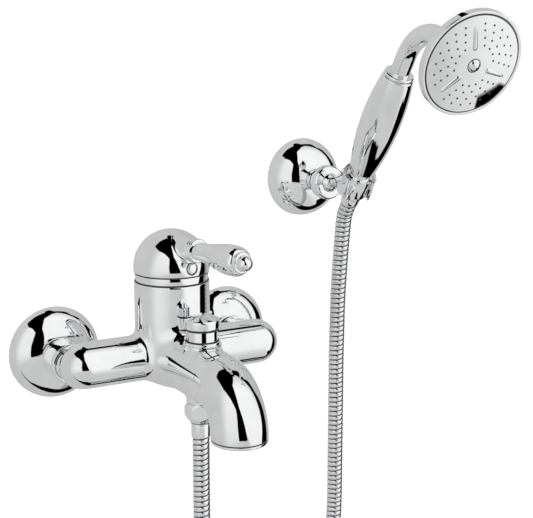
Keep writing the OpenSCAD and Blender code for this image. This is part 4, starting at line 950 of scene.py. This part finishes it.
def beside_neck(d, r, a):
    """The point at a distance d from the middle of the ball and r out from the neck's line, at an angle."""
    return ball_at + neck_way * d + (neck_side * math.cos(a) + neck_up * math.sin(a)) * r


def outside_cup(p):
    """How far a point is outside the cup's cone, less than 0 inside it."""
    q = to_cup @ p
    wall = cup_r + (cup_low_r - cup_r) * (cup_up - q.z) / (cup_up + cup_down)
    return math.hypot(q.x, q.y) - wall


def reach_of_neck(a):
    """How far the neck runs at an angle round it until it is sunk in the cup's wall, found by halving."""
    near, far = neck_from, neck_from + flare_len + 12
    for _ in range(40):
        half = (near + far) / 2
        if outside_cup(beside_neck(half, flare_r(half), a)) > -cup_sink:
            near = half
        else:
            far = half
    return near


holder_angles = np.linspace(0, 2 * math.pi, 96, endpoint=False)
reach = [reach_of_neck(a) for a in holder_angles]
neck_root_angle = math.degrees(math.asin(ball_neck_r / ball_r))
holder_rings = [[tuple(beside_neck(d, max(r, 0.02), a)) for a in holder_angles]
                for d, r in arc(0, 0, ball_r, ball_r, 180, neck_root_angle, 30)]
for share in np.linspace(0.05, 1, 24):
    stops = [neck_root + (end - neck_root) * share for end in reach]
    holder_rings.append([tuple(beside_neck(d, flare_r(d), a)) for d, a in zip(stops, holder_angles)])
ball_neck = skinned("ball_and_neck", np.array(holder_rings), crease=40)
fit(ball_neck, chrome, "chrome", "holder", "holder_neck")
cup_section = eased([(cup_hole_low_r, -cup_down, 0.4), (cup_low_r, -cup_down, 0.7), (cup_r, cup_up, 0.7),
                     (cup_hole_r, cup_up, 0.4)], loop=True)
cup_rings = []
for share in np.linspace(0, 1, 120):
    row = []
    for r, h in cup_section:
        gap = math.asin(cup_slot / 2 / r)
        a = -math.pi / 2 + gap + share * (2 * math.pi - 2 * gap)
        row.append((r * math.cos(a), r * math.sin(a), h))
    cup_rings.append(row)
cup = skinned("handset_cup", placed(cup_rings, in_cup), crease=40)
fit(cup, chrome, "chrome", "holder", "holder_cup")


# Handset
# A conical nut that hangs in the cup, a turned grip, a bead collar, a bent neck and a spun head, all
# plated brass. The hose's upper ferrule turns in the nut.
handset_turn = -4
handset_hole = 4.5
swivel_r = 6
swivel_low = -16.3
upper_ferrule_low = -21.9
cone_gap = 0.3
cone_low = -16
cone_neck_r = 8
grip_from = 10.5
grip_to = 98.5
grip_low_r = 10.2
grip_wide_r = 15.5
grip_top_r = 12
grip_lip = 1.5
bead_r = 11.5
bead_bulge = 1.5
tube_r = 7.4
tube_bend_r = 35
tube_bend = math.radians(80.8)
bend_at = 145.3
head_out = 73.2
head_r = 38
head_rim = 5.5
head_bowl = 11.5
head_wall = 2
foot_r = tube_r + 1.6
in_handset = in_cup @ Matrix.Rotation(math.radians(handset_turn), 4, "Z")
in_head = in_handset @ Matrix.Translation((0, 0, bend_at)) @ Matrix.Rotation(tube_bend, 4, "X")
upper_ferrule = eased_ring("hose_upper_ferrule", [
    (hose_hole, upper_ferrule_low), (ferrule_r, upper_ferrule_low, 0.5), (ferrule_r, swivel_low, 0.3),
    (swivel_r, swivel_low), (swivel_r, -cup_down), (hose_hole, -cup_down)], in_cup)
fit(upper_ferrule, chrome, "chrome", "hose_end", "hose_end_ferrule")
cone = eased_ring("handset_cone_nut", [
    (swivel_r + 0.05, cone_low), (cone_neck_r, cone_low, 0.4), (cone_neck_r, -cup_down),
    (cup_hole_low_r - cone_gap, -cup_down, 0.4), (cup_hole_r - cone_gap, cup_up, 0.5),
    (cone_neck_r, cup_up, 0.4), (cone_neck_r, grip_from), (handset_hole, grip_from),
    (handset_hole, 2 - cup_down), (swivel_r + 0.05, 2 - cup_down)], in_handset)
fit(cone, chrome, "chrome", "handset", "cone_nut")
wide_at = grip_from + 0.55 * (grip_to - grip_from)
lip_at = grip_to - grip_lip
grip_section = [(handset_hole, grip_from)]
grip_section += [(grip_wide_r - (grip_wide_r - grip_low_r) * t * t, wide_at - (wide_at - grip_from) * t)
                 for t in np.linspace(1, 0, 40)]
grip_section += [(grip_wide_r - (grip_wide_r - grip_top_r) * t * t, wide_at + (lip_at - wide_at) * t)
                 for t in np.linspace(0, 1, 40)[1:-1]]
grip_section += arc(grip_top_r - grip_lip, lip_at, grip_lip, grip_lip, 0, 90, 10) + [(handset_hole, grip_to)]
grip = turned("handset_turned_grip", grip_section, in_handset, loop=True, crease=40)
fit(grip, chrome, "chrome", "handset", "handset_grip")
bead_top = grip_to + 2 * bead_bulge
bead = turned("grip_bead", [(handset_hole, grip_to)]
              + arc(bead_r - bead_bulge, grip_to + bead_bulge, bead_bulge, bead_bulge, -90, 90, 20)
              + [(handset_hole, bead_top)], in_handset, loop=True, crease=50)
fit(bead, chrome, "chrome", "handset", "grip_collar")
bend_run = tube_bend_r * math.tan(tube_bend / 2)
bend_from = bend_at - bend_run
bowl_from = head_out - head_rim - head_bowl
tube_rise = [(0, 0, h) for h in np.linspace(bead_top, bend_from, 12)]
tube_rise += [(0, -tube_bend_r * (1 - math.cos(a)), bend_from + tube_bend_r * math.sin(a))
              for a in np.linspace(0, tube_bend, 60)[1:]]
tube_reach = [(0, 0, h) for h in np.linspace(bend_run, bowl_from + 0.4, 8)[1:]]
tube_line = np.vstack([placed(tube_rise, in_handset), placed(tube_reach, in_head)])
tube_rings = rings_round(tube_line, tube_r, np.linspace(0, 2 * math.pi, 96, endpoint=False))
tube = skinned("handset_bent_tube", tube_rings, crease=50)
fit(tube, chrome, "chrome", "handset", "handset_neck")
bowl_centre = (head_r ** 2 - foot_r ** 2 - head_bowl ** 2) / (2 * head_bowl)
bowl_r = math.hypot(bowl_centre, head_r)
bowl = arc(0, head_out - head_rim + bowl_centre, bowl_r, bowl_r, -math.degrees(math.acos(foot_r / bowl_r)),
           -math.degrees(math.acos(head_r / bowl_r)), 40)
rim = eased([bowl[-1], (head_r, head_out, 0.6), (head_r - head_wall, head_out, 0.4),
             (head_r - head_wall, head_out - 2 * head_wall)])
shell = turned("handset_head_shell", [(handset_hole, bowl_from)] + bowl + rim[1:]
               + [(handset_hole, bowl_from + head_wall)], in_head, loop=True, crease=30, sides=192)
fit(shell, chrome, "chrome", "handset", "head_shell")
dress(rubber, "handset_washer", "head_gasket")


# Spray face
# A domed plate with four rings of holes in each of three sectors, a raised rib between the sectors, and a
# screw in the middle.
# Each hole is a dark disc of painted shade, and thin black rings of painted shade lie between the plate and
# the head's rim and round the screw.
plate_r = head_r - head_wall
plate_rise = 2.2
plate_back = head_out - 2
rim_shade_w = 1
sector = math.radians(120)
sector_from = math.radians(90 + 15)
hole_r = 0.8
hole_corners = 16
hole_lift = 0.03
rib_clear = 7.4
rib_from = 11
rib_to = 28
rib_in_w = 4.4
rib_out_w = 2.8
rib_h = 1.3
rib_sink = 0.4
screw_r = 4.6
screw_h = 2.4


def face_height(r):
    """Height of the domed plate at a distance from its middle."""
    return head_out + plate_rise * (1 - (r / plate_r) ** 2)


face = turned("spray_face", [(0, plate_back), (plate_r - rim_shade_w, plate_back)]
              + [(r, face_height(r)) for r in np.linspace(plate_r - rim_shade_w, 0, 48)], in_head, sides=192)
fit(face, chrome, "chrome", "handset", "spray_plate")
# Painted shade: a thin black ring between the plate and the rim of the head, in the joint where shade falls.
rim_painted_shade = eased_ring("face_rim_painted_shade", [
    (plate_r - rim_shade_w, plate_back), (plate_r, plate_back), (plate_r, head_out - 0.1, 0.2),
    (plate_r - rim_shade_w, head_out - 0.1, 0.2)], in_head, sides=192)
fit(rim_painted_shade, rubber, "rubber", "handset")
# Painted shade: the plate has no real holes; each is a dark disc a hair above the plate where a hole would
# show dark.
hole_points, hole_faces = [], []
for number in range(3):
    for r, count in ((15, 4), (20, 5), (25, 6), (29.5, 7)):
        edge = math.asin(rib_clear / r)
        for turn in np.linspace(edge, sector - edge, count):
            a = sector_from + number * sector + turn
            mouth = arc(r * math.cos(a), r * math.sin(a), hole_r, hole_r, 0, 360, hole_corners)[:-1]
            hole_faces.append(list(range(len(hole_points), len(hole_points) + hole_corners)))
            hole_points += [(x, y, face_height(math.hypot(x, y)) + hole_lift) for x, y in mouth]
hole_shade_discs = mesh_piece("spray_hole_painted_shade", placed(hole_points, in_head), hole_faces)
fit(hole_shade_discs, rubber, "rubber", "handset")
for number in range(3):
    a = sector_from + number * sector
    rib_rows = []
    for t in np.linspace(0, 1, 28):
        swell = max((1 - (2 * t - 1) ** 8) ** 0.5, 0.05)
        r = rib_from + (rib_to - rib_from) * t
        half = swell * (rib_in_w + (rib_out_w - rib_in_w) * t) / 2
        row = [(u * half, rib_h * swell * (1 - abs(u) ** 2.5)) for u in np.linspace(-1, 1, 15)]
        row += [(half, -rib_sink), (-half, -rib_sink)]
        rib_rows.append([(r * math.cos(a) - w * math.sin(a), r * math.sin(a) + w * math.cos(a),
                          face_height(math.hypot(r, w)) + h) for w, h in row])
    rib = skinned(f"spray_rib_{number + 1}", placed(rib_rows, in_head), crease=50)
    fit(rib, chrome, "chrome", "handset")
screw_from = face_height(0) - 0.4
screw = turned("spray_centre_screw", [(0, screw_from), (screw_r - 0.2, screw_from)]
               + arc(0, face_height(0), screw_r, screw_h, 0, 90, 24), in_head, sides=72)
fit(screw, chrome, "chrome", "handset", "spray_screw")
# Painted shade: a black ring round the foot of the screw, in the joint where shade falls.
screw_foot_shade = turned("screw_foot_painted_shade", [
    (screw_r - 0.3, screw_from), (screw_r + 0.5, screw_from), (screw_r + 0.5, face_height(0) + 0.03),
    (screw_r - 0.3, face_height(0) + 0.12)], in_head, sides=72, loop=True)
fit(screw_foot_shade, rubber, "rubber", "handset")


# Floor and studio light
# A plain pale paper floor below the coil, and a white studio whose screens leave a few dark gaps between
# them, which the chrome mirrors.
floor_z = -0.37
floor_half = 6
floor_mesh = bpy.data.meshes.new("floor")
floor_mesh.from_pydata([(-floor_half, -floor_half, floor_z), (floor_half, -floor_half, floor_z),
                        (floor_half, floor_half, floor_z), (-floor_half, floor_half, floor_z)],
                       [], [(0, 1, 2, 3)])
floor = bpy.data.objects.new("floor", floor_mesh)
scene.collection.objects.link(floor)
floor_paper = bpy.data.materials.new("white_paper")
floor_paper.use_nodes = True
paper = floor_paper.node_tree.nodes["Principled BSDF"]
paper.inputs["Base Color"].default_value = (0.9, 0.9, 0.9, 1)
paper.inputs["Roughness"].default_value = 1
paper.inputs["Emission Color"].default_value = (1, 1, 1, 1)
paper.inputs["Emission Strength"].default_value = 0.6
floor.data.materials.append(floor_paper)
floor.visible_glossy = False

world = bpy.data.worlds.new("studio")
world.use_nodes = True
scene.world = world
studio, wires = world.node_tree.nodes, world.node_tree.links
look = studio.new("ShaderNodeTexCoord")
split = studio.new("ShaderNodeSeparateXYZ")
wires.new(look.outputs["Generated"], split.inputs["Vector"])


def sum_node(operation, first, second=None):
    """One step of arithmetic on a socket or a number."""
    node = studio.new("ShaderNodeMath")
    node.operation = operation
    for socket, value in zip(node.inputs, (first, second)):
        if value is None:
            continue
        if isinstance(value, (int, float)):
            socket.default_value = value
        else:
            wires.new(value, socket)
    return node.outputs["Value"]


def rise_between(value, low, high):
    """A soft step from 0 below one value to 1 above another."""
    node = studio.new("ShaderNodeMapRange")
    node.interpolation_type = "SMOOTHSTEP"
    wires.new(value, node.inputs["Value"])
    node.inputs["From Min"].default_value = low
    node.inputs["From Max"].default_value = high
    return node.outputs["Result"]


def by_clock(*stops):
    """A value from 0 to 1 that runs straight between its stops of (clock angle in degrees, value)."""
    node = studio.new("ShaderNodeValToRGB")
    marks = node.color_ramp.elements
    for degrees, value in stops:
        marks.new((degrees + 180) / 360).color = (value, value, value, 1)
    marks.remove(marks[0])
    marks.remove(marks[-1])
    wires.new(clock_share, node.inputs["Fac"])
    return node.outputs["Color"]


def below_edge(*stops):
    """1 where a direction is nearer to straight out of the wall than an edge given by its stops."""
    edge = sum_node("MULTIPLY", by_clock(*[(clock, angle / 180) for clock, angle in stops]), 180)
    return rise_between(sum_node("SUBTRACT", edge, off_front), -1, 1)


clock = sum_node("ARCTAN2", split.outputs["X"], split.outputs["Z"])
clock_share = sum_node("ADD", sum_node("DIVIDE", clock, 2 * math.pi), 0.5)
outward = sum_node("MULTIPLY", split.outputs["Y"], -1)
off_front = sum_node("MULTIPLY", sum_node("ARCCOSINE", outward), 180 / math.pi)
screens = by_clock((-179, 0.62), (-150, 0.62), (-118, 0.66), (-104, 0.84), (-90, 0.90), (-40, 0.92),
                   (-20, 0.95), (-17, 1), (100, 1), (124, 0.98), (130, 0.94), (138, 0.84), (145, 0.74),
                   (152, 0.63), (179, 0.62))
backdrop = by_clock((-179, 0.56), (-120, 0.60), (-60, 0.62), (0, 0.62), (40, 0.58), (100, 0.50),
                    (179, 0.56))
to_back = rise_between(off_front, 66, 100)
bright = sum_node("ADD", sum_node("MULTIPLY", screens, sum_node("SUBTRACT", 1, to_back)),
                  sum_node("MULTIPLY", backdrop, to_back))
# The dark room shows between the two front screens, and all round between the screens and the backdrop
front_gap = below_edge((-179, 11), (-150, 12.7), (-130, 17.3), (-120, 22.4), (-112, 31), (-90, 31),
                       (-60, 34.5), (-45, 40), (-37, 46), (-35.5, 104), (-19, 104), (-17.5, 0), (160, 0),
                       (162, 11), (179, 11))
gap_near = below_edge((-179, 70), (-160, 72), (-150, 77), (-128, 81), (-120, 86), (-40, 86), (-36, 60),
                      (-18, 40), (-14, 50), (-10, 62), (-6, 75), (3, 81), (10, 89), (20, 93), (40, 88),
                      (55, 86), (70, 82), (90, 76), (105, 70), (128, 72), (132, 65), (140, 64), (142, 80),
                      (152, 82), (165, 78), (179, 70))
gap_far = below_edge((-179, 90), (-165, 84), (-150, 82), (-128, 83), (-120, 80), (-40, 84), (-36, 107),
                     (-18, 110), (0, 108), (4, 118), (12, 118), (15, 105), (20, 103), (36, 104), (44, 94),
                     (55, 98), (70, 95), (90, 103), (105, 105), (135, 104), (152, 104), (165, 100),
                     (179, 92))
ring_gap = sum_node("MULTIPLY", gap_far, sum_node("SUBTRACT", 1, gap_near))
gaps = sum_node("SUBTRACT", 1, sum_node("MAXIMUM", front_gap, ring_gap))
light = sum_node("MULTIPLY", bright, gaps)
rays = studio.new("ShaderNodeLightPath")
seen = sum_node("MAXIMUM", light, rays.outputs["Is Camera Ray"])
wires.new(seen, studio["Background"].inputs["Color"])
scene.view_settings.view_transform = "Standard"
